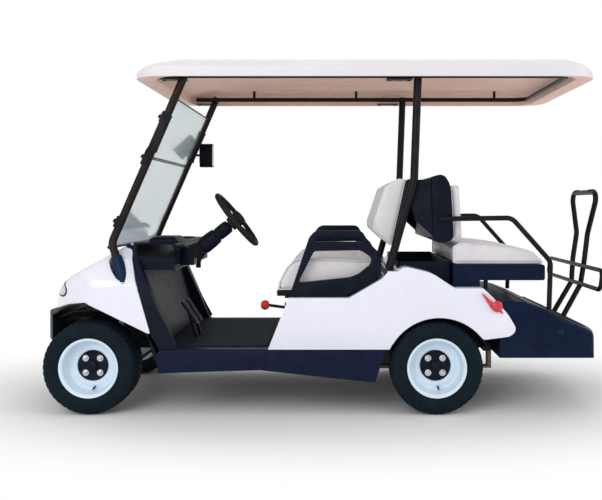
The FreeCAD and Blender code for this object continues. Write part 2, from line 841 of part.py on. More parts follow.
def frontSeat():
    low = seatPlatform + seatGap
    high = low + seatBaseThick
    front = rearAxleX + seatFrontAhead
    rear = rearAxleX + seatRearAhead
    plate = wideBox("SeatPlate", rear, front, seatHalf, low, high)
    x = rearAxleX + hingeAhead
    ear = hingeHalf - hingeLug * 3
    pieces = [plate]
    bores = []
    for side in (1, -1):
        y0 = ear if side > 0 else -ear - hingeLug
        pieces.append(box("SeatEar", x - hingeLug, x + hingeLug, y0, y0 + hingeLug,
                          hingeHeight - hingeLug, low))
        bores.append(crossCylinder("SeatEarBore", x, hingeHeight, y0, y0 + hingeLug,
                                   hingePin + runFit))
    node(cut("FrontSeatBase", fuse("SeatBaseSolid", pieces), group("SeatEarBores", bores)),
         "front_seat_base")
    loop = [(rear, high), fromRear("cushionRear", 288, 740),
            fromRear("cushionRearTop", 310, 752), fromRear("cushionTop", 620, 764),
            fromRear("cushionEdge", 699, 757), fromRear("cushionBrow", 742, 715),
            fromRear("cushionNose", 780, 640), (front - seatGap, high)]
    node(sidePrism("FrontSeatCushion", loop, seatHalf), "front_seat_cushion")


def frontArmrests():
    ring = [footTop, ringFlat, ringRise, fromRear("armRear", 268, 779),
            fromRear("armShoulder", 335, 845), fromRear("armTopRear", 364, 900),
            fromRear("armTopFront", 597, 900), fromRear("armFront", 626, 865)]
    slot = [fromRear("slotLowFront", 602, 845), fromRear("slotLowRear", 359, 845),
            fromRear("slotTopRear", 384, 869), fromRear("slotTopFront", 572, 869)]
    window = [fromRear("windowLowFront", 680, 642), fromRear("windowLowRear", 400, 672),
              fromRear("windowRear", 315, 738), fromRear("windowRearTop", 322, 770),
              fromRear("windowTopRear", 372, 803), fromRear("windowTopFront", 600, 799)]
    inner = cell("armInner", 491)
    arm = leftPrism("ArmLeft", [ring, slot, window], inner, cell("armOuter", 527))
    node(pair("FrontArmrests", arm), "front_armrests")


backLow = fromRear("backLow", 211, 824)
backHigh = fromRear("backHigh", 138, 1156)
backShellThick = cell("backShellThick", 30)


def lineUp(first, second, height):
    # The point at a height on the line from one side-view point to another.
    share = (height - first[1]) / (second[1] - first[1])
    return (first[0] + (second[0] - first[0]) * share, height)


def shellRearAt(height):
    # Just behind the front backrest's shell.
    x, z = lineUp(backLow, backHigh, height)
    return (x - backShellThick - seatGap, z)


def frontBackrest():
    lowFront = backLow
    highFront = backHigh
    thick = backShellThick
    shell = [lowFront, highFront, (highFront[0] - thick, highFront[1]),
             (lowFront[0] - thick, lowFront[1])]
    node(sidePrism("FrontBackShell", shell, shellHalf), "front_backrest_shell")
    cushion = [(lowFront[0] + seatGap, lowFront[1]), fromRear("backNip", 225, 822),
               fromRear("backBelly", 308, 890), fromRear("backFace", 312, 930),
               fromRear("backBrow", 247, 1125), fromRear("backTop", 179, 1161),
               (highFront[0] + seatGap, highFront[1])]
    node(sidePrism("FrontBackCushion", cushion, backHalf), "front_backrest_cushion")


def rearBackrest():
    faceTop = fromRear("rearFaceTop", -78, 1126)
    faceLow = fromRear("rearFaceLow", -94, 852)
    panel = [fromRear("rearShellTop", 14, 1169), fromRear("rearShellCrest", -44, 1182), faceTop,
             faceLow, fromRear("rearShellFoot", -29, 835), fromRear("rearShellBack", 10, 850)]
    bracket = [shellRearAt(cell("bracketTop", 1150)), shellRearAt(cell("bracketNeck", 1050)),
               fromRear("bracketLow", 96, 951), panel[4], panel[0]]
    width = cell("bracketWidth", 40)
    side = leftPrism("RearBracket", [bracket], shellHalf - width, shellHalf)
    half = cell("rearShellHalf", 487.2)
    body = sidePrism("RearBackPanel", panel, half)
    node(fuse("RearBackShell", [body, side, mirrored("RearBracketRight", side)]),
         "rear_backrest_shell")
    thick = cell("rearPadThick", 48)
    lift = cell("rearPadLift", 4)
    pad = [(faceTop[0] - seatGap, faceTop[1]), (faceTop[0] - thick, faceTop[1] - seatGap),
           (faceLow[0] - thick, faceLow[1] + lift), (faceLow[0] - seatGap, faceLow[1] + lift)]
    node(sidePrism("RearBackCushion", pad, backHalf), "rear_backrest_cushion")


def rearSeat():
    front = rearAxleX - cell("panFrontBehind", 90)
    rear = rearAxleX - cell("panRearBehind", 545)
    deep = cell("panBottom", 652)
    top = cell("panTop", 730)
    step = rearAxleX - cell("panStepBehind", 222)
    pan = [(front, panLevel), (front, top), (rear, top), (rear, deep), (step, deep),
           (step, panLevel)]
    half = cell("panHalf", 490)
    body = sidePrism("PanBlock", pan, half)
    postX = rearAxleX - cell("postBehind", 255)
    postY = cell("postY", 465)
    postFoot = cell("postFoot", 603)
    postRadius = cell("postRadius", 11)
    posts = []
    for side in (1, -1):
        posts.append(uprightCylinder("PanPost", postX, postY * side, postFoot, deep, postRadius))
    node(fuse("RearSeatPan", [body] + posts), "rear_seat_pan")
    loop = [(front, top + seatGap), (front, cell("rearCushionFront", 820)),
            fromRear("rearCushionBrow", -128, 842),
            fromRear("rearCushionTop", -420, 812), fromRear("rearCushionEdge", -492, 795),
            fromRear("rearCushionNose", -541, 748), (rear + seatGap, top + seatGap)]
    node(sidePrism("RearSeatCushion", loop, seatHalf), "rear_seat_cushion")


# ---- rear deck, rails and rack -----------------------------------------------------

deckHalf = cell("deckHalf", 540)
deckFoot = fromRear("deckFoot", -310, 275)
deckCrest = fromRear("deckCrest", -432, 555)
deckCrown = fromRear("deckCrown", -538, 516)
deckSlope = fromRear("deckSlope", -635, 467)
deckLip = fromRear("deckLip", -757, 412)
deckEdge = fromRear("deckEdge", -820, 395)
deckRear = cell("deckRearBehind", 860)
deckBow = cell("deckBow", 88)
deckReach = cell("deckReach", 40)


def lineAt(first, second, x):
    # The height of the line from one side-view point to the next, at a place along X.
    share = (x - first[0]) / (second[0] - first[0])
    return first[1] + (second[1] - first[1]) * share


def rearDeck():
    # It starts under the tail, follows the tail's end up to the crest and slopes to the rear.
    brow, lamp, end, under, low = tailPoints[5:]
    rear = rearAxleX - deckRear
    gap = seatGap
    footTopZ = lineAt(under, low, deckFoot[0]) - gap
    crest = lineUp(lamp, brow, cell("deckFrontHeight", 548))
    profile = [deckFoot, (deckFoot[0], footTopZ), (under[0] - gap, under[1] - gap),
               (end[0] - gap, end[1]), (lamp[0] - gap, lamp[1]), (crest[0] - gap, crest[1]),
               deckCrest, deckCrown, deckSlope, deckLip, deckEdge,
               (rear, cell("deckRearHeight", 360)), (rear, deckFoot[1])]
    wall = deckWall
    outer = common("DeckOuter", sidePrism("DeckSide", profile, deckHalf),
                   deckPlan("DeckPlan", rear, deckHalf, deckBow))
    base = deckFoot[1] - wall
    inside = [(deckFoot[0] - wall, base), (deckFoot[0] - wall, footTopZ - wall),
              (end[0] - wall, footTopZ - wall), (end[0] - wall, crest[1] - wall)]
    for x, z in (deckCrest, deckCrown, deckSlope, deckLip, deckEdge):
        inside.append((x, z - wall))
    inside.append((rear + wall, base))
    core = common("DeckCore", sidePrism("DeckCoreSide", inside, deckHalf),
                  deckPlan("DeckCorePlan", rear + wall, deckHalf - wall, deckBow))
    ribs = []
    for side in (1, -1):
        middle = railY * side
        ribs.append(box("DeckRib", rear, deckFoot[0] - wall, middle - wall, middle + wall,
                        railTop, deckCrest[1]))
    hollow = cut("DeckHollow", core, group("DeckRibs", ribs))
    shell = cut("DeckShell", outer, hollow)
    notch = wideBox("DeckNotch", deckFoot[0] - wall * 2, deckFoot[0] + wall,
                    railY + railSide / 2 + gap, base, railTop + gap)
    node(cut("RearDeck", shell, notch), "rear_deck")


def deckPlan(name, rear, half, bow):
    # Straight sides and one shallow arc across the rear.
    radius = (half * half + bow * bow) / (bow * 2)
    loop = [(deckFoot[0] + deckReach, -half), (deckFoot[0] + deckReach, half),
            (rear + bow, half), (rear + bow, -half, -radius)]
    return prism(name, "XY_Plane", [loop], deckCrest[1], 0)


def rearArmrests():
    bend = cell("armrestBend", 60)
    y = strutY
    uprightX = rearAxleX - cell("uprightFootBehind", 562)
    foot = lineAt(deckCrown, deckSlope, uprightX + railTubeRadius) + seatGap
    start = fromRear("armrestFront", -19, 957)
    elbow = fromRear("armrestElbow", -378, 962)
    knee = fromRear("armrestKnee", -570, 746)
    points = [at(start[0], y, start[1]), at(elbow[0], y, elbow[1]), at(knee[0], y, knee[1]),
              at(uprightX, y, foot)]
    node(pair("RearArmrests", tube("ArmrestLeft", points, railTubeRadius, bend)),
         "rear_armrests")


legRadius = cell("legRadius", 14)
barRadius = cell("barRadius", 11)


def rackFrame():
    footY = cell("legFootY", 95)
    kneeY = cell("legKneeY", 85)
    midY = cell("legMidY", 107)
    waistY = cell("legWaistY", 100)
    loopY = cell("loopY", 240)
    foot = fromRear("legFoot", -743, 0)
    knee = legKnee
    middle = legMiddle
    waist = fromRear("legWaist", -875, 870)
    top = fromRear("loopTop", -887, 1095)
    footZ = lineAt(deckSlope, deckLip, foot[0] + legRadius) + cell("legFootLift", -4.2)
    half = [at(foot[0], footY, footZ), at(knee[0], kneeY, knee[1]),
            at(middle[0], midY, middle[1]), at(waist[0], waistY, waist[1]),
            at(top[0], loopY, top[1])]
    other = [Vector(p.x, -p.y, p.z) for p in reversed(half)]
    node(tube("RackFrame", half + other, legRadius, cell("loopBend", 40)), "rack_frame")


legKnee = fromRear("legKnee", -841, 593)
legMiddle = fromRear("legMiddle", -855, 722)


def rackRails():
    # A rounded ring of bar across the cart, carried on the front of the rack's two legs.
    low = cell("barLow", 604)
    high = cell("barHigh", 700)
    reach = legRadius + barRadius + cell("barSeat", 0.5)
    lowX = legKnee[0] + (legMiddle[0] - legKnee[0]) * ((low - legKnee[1])
                                                    / (legMiddle[1] - legKnee[1])) + reach
    highX = legKnee[0] + (legMiddle[0] - legKnee[0]) * ((high - legKnee[1])
                                                     / (legMiddle[1] - legKnee[1])) + reach
    half = cell("barHalf", 500)
    bend = cell("barBend", 35)
    ends = [at(highX, 0, high), at(highX, half, high), at(lowX, half, low), at(lowX, 0, low)]
    left = tube("RingLeft", ends, barRadius, bend)
    node(fuse("RackRails", [left, mirrored("RingRight", left)]), "rack_rails")


# ---- struts, roof and windscreen ------------------------------------------------------

strutTop = fromFront("strutTop", 467, 1690)
strutKink = fromFront("strutKink", 97, 838)
podLow = fromFront("podLow", 172, 630)
podRadius = cell("podRadius", 28)
podY = cell("podY", 538)


def frontStruts():
    # Below its kink each strut leans out, and stops at the pod that carries it.
    kink = at(strutKink[0], strutY, strutKink[1])
    low = at(podLow[0], podY, podLow[1])
    down = (low - kink).normalize()
    high = kink + down * cell("podStem", 70).value
    top = at(strutTop[0], strutY, strutTop[1])
    strut = tube("StrutLeft", [top, kink, high], strutRadius, cell("strutBend", 60))
    node(pair("FrontStruts", strut), "front_struts")
    node(pair("StrutPods", rod("PodLeft", high, low, podRadius)), "strut_pods")
    gap = down * seatGap.value
    return pair("PodRecesses", rod("PodRecess", high - gap, low + gap, podRadius + seatGap))


def midStruts():
    foot = fromRear("midFoot", 231, strutSeat)
    bend = fromRear("midBend", 106, 1150)
    top = fromRear("midTop", 86, 1690)
    flange = cell("flangeThickness", 6)
    size = cell("flangeHalf", 24)
    wire = [at(top[0], strutY, top[1]), at(bend[0], strutY, bend[1]),
            at(foot[0], strutY, foot[1] + flange)]
    post = tube("MidPost", wire, strutRadius, cell("midBendRadius", 120))
    x0 = foot[0] - size
    plate = box("MidFlange", x0, foot[0] + size, strutY - size, strutY + size, strutSeat,
                strutSeat + flange)
    strut = fuse("MidStrut", [post, plate])
    node(pair("MidStruts", strut), "mid_struts")


roofShoulderY = cell("roofShoulderY", 560)
roofEdge = cell("roofEdge", 1702)
panelY = cell("roofPanelY", 420)
panelRise = cell("roofPanelRise", 24)
panelSlope = cell("roofPanelSlope", 30)


def roofSection(name, x0, x1):
    # The outside: upright edges, a bevel, then one shallow arc across the top.
    rise = roofCrown - roofShoulder
    radius = (roofShoulderY * roofShoulderY + rise * rise) / (rise * 2)
    loop = [(-roofHalf, roofBottom), (roofHalf, roofBottom), (roofHalf, roofEdge),
            (roofShoulderY, roofShoulder), (-roofShoulderY, roofShoulder, -radius),
            (-roofHalf, roofEdge)]
    return prism(name, "YZ_Plane", [loop], x1 - x0, x0)


def roofCavity(name, x0, x1):
    # The inside: a level margin for the rails and a raised panel along the middle.
    low = roofBottom - roofWall
    side = roofHalf - roofWall
    bevel = roofShoulderY - roofWall
    high = roofCeiling + panelRise
    right = [(side, low), (side, roofEdge - roofWall), (bevel, roofCeiling),
             (panelY, roofCeiling), (panelY - panelSlope, high)]
    left = [(-y, z) for y, z in reversed(right)]
    return prism(name, "YZ_Plane", [right + left], x1 - x0, x0)


def roundedSlab(name, x0, x1, half, corner, z0, z1):
    loop = [(x0 + corner, -half), (x1 - corner, -half), (x1, -half + corner, -corner),
            (x1, half - corner), (x1 - corner, half, -corner), (x0 + corner, half),
            (x0, half - corner, -corner), (x0, -half + corner)]
    loop[0] = (x0 + corner, -half, -corner)
    return prism(name, "XY_Plane", [loop], z1 - z0, z0)


def roof():
    front = frontAxleX - cell("roofFrontBehind", 212)
    rear = rearAxleX - cell("roofRearBehind", 788)
    top = [fromFront("roofNose", 216, 1670), fromFront("roofLip", 262, 1692),
           fromFront("roofBrow", 352, 1718), fromFront("roofShade", 500, 1744),
           fromFront("roofCap", 820, 1766), fromFront("roofPeak", 1200, roofCrown),
           fromRear("roofBack", -80, roofCrown), fromRear("roofFall", -440, 1766),
           fromRear("roofHaunch", -620, 1738), fromRear("roofTail", -735, 1696),
           (rear, cell("roofRearHeight", 1664))]
    foot = [(rear, roofBottom), (front, roofBottom)]
    block = common("RoofBlock", sidePrism("RoofSide", foot + top, roofHalf),
                   roofSection("RoofSection", rear, front))
    outer = common("RoofOuter", block, roundedSlab("RoofPlan", rear, front, roofHalf,
                                                   roofCorner, roofBottom, roofCrown))
    wall = roofWall
    inner = roundedSlab("RoofInner", rear + cell("roofRearRim", 84),
                        front - cell("roofFrontRim", 98), roofHalf - wall,
                        roofCorner - wall, roofBottom - wall, roofCrown)
    inner = common("RoofHollow", inner, roofCavity("RoofCavity", rear, front))
    under = [(rear, roofBottom - wall), (front, roofBottom - wall)]
    under = under + [(x, z - wall) for x, z in top]
    inner = common("RoofRoom", inner, sidePrism("RoofHollowSide", under, roofHalf))
    node(cut("Roof", outer, inner), "roof")


def roofRails():
    y = strutY - strutRadius - seatGap - railTubeRadius
    front = frontAxleX - cell("railFrontBehind", 345)
    rear = rearAxleX - cell("railRearBehind", 670)
    z = roofRailHeight
    points = [at(front, y, z), at(rear, y, z), at(rear, -y, z), at(front, -y, z)]
    rail = tube("RailTube", points, railTubeRadius, cell("railBend", 70))
    pieces = [rail]
    stems = [frontAxleX - cell("stemFrontBehind", 700), frontAxleX - cell("stemMidBehind", 1326),
             rearAxleX - cell("stemRearBehind", 475)]
    radius = cell("stemRadius", 8)
    for x in stems:
        for side in (1, -1):
            pieces.append(uprightCylinder("RailStem", x, y * side, z, roofCeiling, radius))
    node(fuse("RoofRails", pieces), "roof_rails")


def screenAt(height, forward):
    # A point on the windscreen's plane, which the struts share.
    share = (height - strutKink[1]) / (strutTop[1] - strutKink[1])
    x = strutKink[0] + (strutTop[0] - strutKink[0]) * share
    return (x + forward, height)


def windscreen():
    low = cell("screenLow", 812)
    middle = cell("screenMiddle", 1262)
    top = cell("screenTop", 1560)
    seam = cell("screenSeam", 0.5)
    thick = cell("screenThick", 6)
    for name, label, z0, z1 in (("ScreenLower", "windshield_lower", low, middle),
                                ("ScreenUpper", "windshield_upper", middle + seam, top)):
        half = thick / 2
        pane = [screenAt(z0, half), screenAt(z1, half), screenAt(z1, -half),
                screenAt(z0, -half)]
        node(sidePrism(name, pane, shellHalf), label)


def sideMirror():
    # On the right strut only; its short arm leans back and out from the strut.
    height = cell("mirrorMid", 1335)
    centre = screenAt(height, 0)
    front = frontAxleX - cell("mirrorFrontBehind", 352)
    rear = frontAxleX - cell("mirrorRearBehind", 430)
    half = cell("mirrorHalfHeight", 72)
    inner = -strutY - cell("mirrorInnerOut", 32)
    head = box("MirrorHead", rear, front, -strutY - cell("mirrorOuterOut", 95), inner,
               height - half, height + half)
    lean = math.radians(cell("mirrorArmLean", 37).value)
    away = Vector(-math.cos(lean), -math.sin(lean), 0)
    root = at(centre[0], -strutY, height)
    seat = strutRadius + cell("mirrorArmSeat", 3.9)
    arm = rod("MirrorArm", root + away * seat.value, root + away * cell("mirrorReach", 64).value,
              cell("mirrorArm", 7))
    node(fuse("SideMirror", [head, arm]), "side_mirror")


# ---- steering and pedals ---------------------------------------------------------------

wheelX = frontAxleX - cell("handwheelBehind", 688)
wheelY = cell("handwheelY", 280)
wheelZ = cell("handwheelHeight", 950)
columnTilt = cell("columnTilt", 51.4)
columnRadius = cell("columnRadius", 21)
shaftRadius = cell("shaftRadius", 9)
hubDrop = cell("handwheelHubDrop", 42)
hubRise = cell("handwheelHubRise", 10)


def alongColumn(distance):
    # A point on the steering axis, measured up from the middle of the hand wheel.
    tilt = math.radians(columnTilt.value)
    return at(wheelX, wheelY, wheelZ) + Vector(-math.sin(tilt), 0, math.cos(tilt)) * distance


def steeringColumn(hoodX):
    length = cell("columnLength", 300)
    gap = cell("columnGap", 5)
    start = alongColumn(-length.value)
    tube = rod("ColumnTube", start, alongColumn(-(hubDrop + gap).value), columnRadius)
    shaft = rod("ColumnShaft", start, alongColumn(0), shaftRadius)
    half = cell("bootHalf", 45)
    boot = box("ColumnBoot", hoodX - cell("bootReach", 64), hoodX, wheelY - half, wheelY + half,
               cell("bootLow", 715), cell("bootHigh", 808))
    node(fuse("SteeringColumn", [tube, shaft, boot]), "steering_column")


def steeringWheel():
    # Modelled level about the origin, then set on the steering axis.
    rimRadius = cell("handwheelRadius", 160)
    grip = cell("handwheelGrip", 12)
    rim = doc.addObject("Part::Torus", "HandwheelRim")
    bind(rim, "Radius1", rimRadius)
    bind(rim, "Radius2", grip)
    zero = asSize(0)
    hub = uprightCylinder("HandwheelHub", zero, zero, -hubDrop, hubRise,
                          cell("handwheelHub", 36))
    pieces = [rim, hub]
    drop = cell("spokeDrop", 16)
    spoke = cell("spokeRadius", 8)
    for i in range(3):
        angle = math.radians(90 + 120 * i)
        out = Vector(math.cos(angle), math.sin(angle), 0)
        tip = out * rimRadius.value
        pieces.append(rod("HandwheelSpoke", Vector(0, 0, -drop.value), tip, spoke))
    bore = uprightCylinder("HandwheelBore", zero, zero, -hubDrop, asSize(1),
                           shaftRadius + runFit)
    wheelSolid = cut("SteeringWheel", fuse("HandwheelSolid", pieces), bore)
    wheelSolid.Placement.Rotation = FreeCAD.Rotation(Vector(0, 1, 0), -columnTilt.value)
    bind(wheelSolid, "Placement.Base.x", wheelX)
    bind(wheelSolid, "Placement.Base.y", wheelY)
    bind(wheelSolid, "Placement.Base.z", wheelZ)
    node(wheelSolid, "steering_wheel")


def pedals():
    # Two floor-hinged pedals: a sloping pad on a narrow arm.
    pad = [fromFront("padLow", 476, 402), fromFront("padHigh", 398, 520),
           fromFront("padTop", 388, 514), fromFront("padHeel", 466, 396)]
    arm = [fromFront("armFoot", 478, floorTop), fromFront("armHeel", 456, floorTop),
           fromFront("armBack", 420, 450), fromFront("armFace", 434, 458)]
    pieces = []
    rows = (("Brake", 215, 75), ("Go", 105, 60))
    for name, middle, width in rows:
        y = cell(f"pedal{name}Y", middle)
        half = cell(f"pedal{name}Width", width) / 2
        stem = cell(f"pedal{name}Arm", 9)
        plate = leftPrism(f"PedalPad{name}", [pad], y - half, y + half)
        lever = leftPrism(f"PedalArm{name}", [arm], y - stem, y + stem)
        pieces.append(fuse(f"Pedal{name}", [plate, lever]))
    node(group("Pedals", pieces), "pedals")


# ---- the whole cart ----------------------------------------------------------------------

def build():
    doc.recompute()
    for end, x in (("front", frontAxleX), ("rear", rearAxleX)):
        for name, side in (("left", 1), ("right", -1)):
            tyre(f"tyre_{end}_{name}", x, side)
            wheel(f"wheel_{end}_{name}", x, side)
    frontBeam()
    knuckle("knuckle_left", 1)
    knuckle("knuckle_right", -1)
    tieRod()
    rearAxle()
    rearSprings()
    chassis()
    batteryPack()
    floorTray()
    rockerPanels()
    recesses = frontStruts()
    frontCowl(recesses)
    frontBumper()
    hoodX = dashConsole()
    rearBody()
    wheelWells()
    bagwell()
    tailLights()
    seatHinge()
    frontSeat()
    frontArmrests()
    frontBackrest()
    rearBackrest()
    rearSeat()
    rearDeck()
    rearArmrests()
    rackFrame()
    rackRails()
    midStruts()
    roof()
    roofRails()
    windscreen()
    sideMirror()
    steeringColumn(hoodX)
    steeringWheel()
    pedals()
    doc.recompute()


def check():
    for item in doc.Objects:
        if "Invalid" in item.State or "Error" in item.State:
            raise RuntimeError(f"{item.Label} failed: {item.State}")
    for item in nodes:
        if item.Shape.isNull() or not item.Shape.isValid():
            raise RuntimeError(f"{item.Label} has no valid shape")


def export():
    os.makedirs("parts", exist_ok=True)
    for item in nodes:
        item.Shape.exportStep(f"parts/{item.Label}.step")
        box = item.Shape.BoundBox
        print(f"{item.Label:24s} solids {len(item.Shape.Solids)}  "
              f"x {box.XMin:.0f}..{box.XMax:.0f}  y {box.YMin:.0f}..{box.YMax:.0f}  "
              f"z {box.ZMin:.0f}..{box.ZMax:.0f}  {item.Shape.Volume / 1e6:.2f} l")


build()
check()
export()
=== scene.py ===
# Four-seat golf cart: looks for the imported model, in metres, +X forward, +Y left, +Z up.
import bpy
import json
import math
from mathutils import Matrix, Vector, geometry


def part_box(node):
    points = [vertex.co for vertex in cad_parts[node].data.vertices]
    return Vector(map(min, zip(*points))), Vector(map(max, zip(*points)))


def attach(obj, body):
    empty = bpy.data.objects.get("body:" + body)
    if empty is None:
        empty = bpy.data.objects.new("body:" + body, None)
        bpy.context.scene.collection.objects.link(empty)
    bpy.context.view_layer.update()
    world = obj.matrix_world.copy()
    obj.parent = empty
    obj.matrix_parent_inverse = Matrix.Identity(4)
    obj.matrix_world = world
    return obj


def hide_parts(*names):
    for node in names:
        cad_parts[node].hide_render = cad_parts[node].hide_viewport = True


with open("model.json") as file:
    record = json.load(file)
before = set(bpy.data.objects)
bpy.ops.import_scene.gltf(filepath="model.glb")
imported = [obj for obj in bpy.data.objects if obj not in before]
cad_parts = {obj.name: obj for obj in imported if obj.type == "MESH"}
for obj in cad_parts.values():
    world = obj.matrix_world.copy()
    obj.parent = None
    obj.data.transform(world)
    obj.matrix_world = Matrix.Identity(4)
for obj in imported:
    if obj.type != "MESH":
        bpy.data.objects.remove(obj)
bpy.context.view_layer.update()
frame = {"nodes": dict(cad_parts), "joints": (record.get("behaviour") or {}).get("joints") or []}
print("model loaded:", len(frame["nodes"]), "nodes")

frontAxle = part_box("tyre_front_left")
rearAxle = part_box("tyre_rear_left")
frontAxleX = (frontAxle[0][0] + frontAxle[1][0]) / 2
rearAxleX = (rearAxle[0][0] + rearAxle[1][0]) / 2
axleZ = (frontAxle[0][2] + frontAxle[1][2]) / 2
bodySide = 0.57


def alongX(behindFrontAxle):
    # A place along the cart, given behind the front axle.
    return frontAxleX - behindFrontAxle


def placed(places):
    # Places whose first number is given behind the front axle.
    return [(alongX(x), *rest) for x, *rest in places]


def arc(x, z, reach, rise, start, end, steps):
    # Side-view places along part of an ellipse, from one angle to another.
    for i in range(steps + 1):
        turn = math.radians(start + (end - start) * i / steps)
        yield x + math.cos(turn) * reach, z + math.sin(turn) * rise


def pick(*objects):
    if bpy.context.object and bpy.context.object.mode != "OBJECT":
        bpy.ops.object.mode_set(mode="OBJECT")
    bpy.ops.object.select_all(action="DESELECT")
    for piece in objects:
        piece.select_set(True)
    if objects:
        bpy.context.view_layer.objects.active = objects[0]


def settle(piece):
    # The piece's place goes into its mesh.
    pick(piece)
    bpy.ops.object.transform_apply(location=True, rotation=True, scale=True)
    return piece


def useModifier(piece, kind, **settings):
    modifier = piece.modifiers.new(kind.title(), kind)
    for key, value in settings.items():
        setattr(modifier, key, value)
    pick(piece)
    bpy.ops.object.modifier_apply(modifier=modifier.name)
    return piece


def roundEdges(piece, width, segments=3, angle=30):
    useModifier(piece, "BEVEL", width=width, segments=segments, limit_method="ANGLE",
                angle_limit=math.radians(angle), use_clamp_overlap=True)
    return smooth(piece)


def smooth(piece, angle=35):
    pick(piece)
    bpy.ops.object.shade_smooth_by_angle(angle=math.radians(angle))
    return piece


def selectWhere(piece, kind, test):
    # Goes to edit mode with only the faces, edges or vertices that pass the test selected.
    pick(piece)
    mesh = piece.data
    for part in (mesh.vertices, mesh.edges, mesh.polygons):
        part.foreach_set("select", [False] * len(part))
    chosen = {"FACE": mesh.polygons, "EDGE": mesh.edges, "VERT": mesh.vertices}[kind]
    for item in chosen:
        item.select = bool(test(item))
    bpy.ops.object.mode_set(mode="EDIT")
    bpy.ops.mesh.select_mode(type=kind)


def leaveEdit():
    bpy.ops.object.mode_set(mode="OBJECT")


def fixNormals(piece):
    selectWhere(piece, "FACE", lambda face: True)
    bpy.ops.mesh.remove_doubles(threshold=0.00002)
    bpy.ops.mesh.normals_make_consistent(inside=False)
    leaveEdit()
    return piece


def block(name, low, high):
    middle = [(a + b) / 2 for a, b in zip(low, high)]
    pick()
    bpy.ops.mesh.primitive_cube_add(size=1, location=middle)
    piece = bpy.context.object
    piece.name = name
    piece.scale = [b - a for a, b in zip(low, high)]
    return settle(piece)


def plate(name, outline, start, end, axis="Y"):
    # A flat outline filled and extruded from one place to the other along an axis.
    pick()
    bpy.ops.mesh.primitive_circle_add(vertices=len(outline), radius=1, fill_type="NGON")
    piece = bpy.context.object
    piece.name = name
    for vertex, (u, v) in zip(piece.data.vertices, outline):
        places = {"Y": (u, start, v), "X": (start, u, v), "Z": (u, v, start)}
        vertex.co = places[axis]
    way = {"X": (1, 0, 0), "Y": (0, 1, 0), "Z": (0, 0, 1)}[axis]
    selectWhere(piece, "FACE", lambda face: True)
    bpy.ops.mesh.extrude_region_move(
        TRANSFORM_OT_translate={"value": Vector(way) * (end - start)})
    leaveEdit()
    return fixNormals(piece)


def barBetween(name, start, end, radius, sides=24, endRadius=None):
    start, end = Vector(start), Vector(end)
    pick()
    bpy.ops.mesh.primitive_cone_add(vertices=sides, radius1=radius,
                                    radius2=radius if endRadius is None else endRadius,
                                    depth=(end - start).length)
    piece = bpy.context.object
    piece.name = name
    turn = (end - start).to_track_quat("Z", "Y").to_matrix().to_4x4()
    piece.data.transform(Matrix.Translation((start + end) / 2) @ turn)
    return smooth(piece)


def bentTube(name, points, radius, smoothness=6, closed=False, order=3, sides=4):
    # A tube along a smooth line through its bends.
    pick()
    bpy.ops.curve.primitive_nurbs_path_add()
    piece = bpy.context.object
    piece.name = name
    line = piece.data
    line.splines.clear()
    spline = line.splines.new("NURBS")
    spline.points.add(len(points) - 1)
    for target, place in zip(spline.points, points):
        target.co = (*place, 1)
    spline.use_cyclic_u = closed
    spline.use_endpoint_u = not closed
    spline.order_u = order
    line.bevel_depth = radius
    line.bevel_resolution = sides
    line.resolution_u = smoothness
    line.use_fill_caps = not closed
    piece.location = (0, 0, 0)
    piece.rotation_euler = (0, 0, 0)
    pick(piece)
    bpy.ops.object.convert(target="MESH")
    piece = bpy.context.object
    fixNormals(piece)
    return smooth(piece, 50)


def turnedPiece(name, profile, centre, axis="Y", steps=64, facing=1):
    # A closed profile of (radius, place along the axis) spun about the axis, facing either way.
    pick()
    bpy.ops.mesh.primitive_circle_add(vertices=len(profile), radius=1, fill_type="NOTHING")
    piece = bpy.context.object
    piece.name = name
    for vertex, (radius, along) in zip(piece.data.vertices, profile):
        vertex.co = {"Y": (radius, along, 0), "X": (along, radius, 0),
                     "Z": (radius, 0, along)}[axis]
    selectWhere(piece, "EDGE", lambda edge: True)
    way = {"X": (1, 0, 0), "Y": (0, 1, 0), "Z": (0, 0, 1)}[axis]
    bpy.ops.mesh.spin(steps=steps, angle=math.tau, center=(0, 0, 0), axis=way)
    leaveEdit()
    fixNormals(piece)
    if facing < 0:
        piece.data.transform(Matrix.Scale(-1, 4, way))
        fixNormals(piece)
    piece.data.transform(Matrix.Translation(centre))
    return smooth(piece)


def together(name, pieces):
    pick(*pieces)
    if len(pieces) > 1:
        bpy.ops.object.join()
    piece = bpy.context.object
    piece.name = name
    return piece


def copied(piece, name, move=(0, 0, 0)):
    twin = piece.copy()
    twin.data = piece.data.copy()
    bpy.context.scene.collection.objects.link(twin)
    twin.name = name
    twin.data.transform(Matrix.Translation(move))
    return twin


def flipped(piece, name):
    # The same piece on the cart's other side.
    twin = copied(piece, name)
    twin.data.transform(Matrix.Scale(-1, 4, (0, 1, 0)))
    twin.data.flip_normals()
    return twin


def withTwin(piece, name):
    return together(name, [piece, flipped(piece, name + "Twin")])


def dress(piece, finishName, *nodes, body="chassis", slot=None):
    # The finished piece rides on its body, in its finish, for the nodes it stands for.
    piece.data.materials.clear()
    piece.data.materials.append(finish[finishName])
    for face in piece.data.polygons:
        face.material_index = 0
    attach(piece, body)
    if nodes:
        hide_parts(*nodes)
    return piece


def nodeCopy(nodeName, name, flatness=1.0):
    # A merged copy of a node's mesh, with its flat triangles joined into faces.
    source = frame["nodes"][nodeName]
    piece = source.copy()
    piece.data = source.data.copy()
    bpy.context.scene.collection.objects.link(piece)
    piece.parent = None
    piece.name = name
    for key in list(piece.keys()):
        del piece[key]
    piece.hide_render = False
    piece.hide_viewport = False
    piece.hide_set(False)
    selectWhere(piece, "FACE", lambda face: True)
    bpy.ops.mesh.remove_doubles(threshold=0.00002)
    bpy.ops.mesh.dissolve_limited(angle_limit=math.radians(flatness))
    leaveEdit()
    return piece


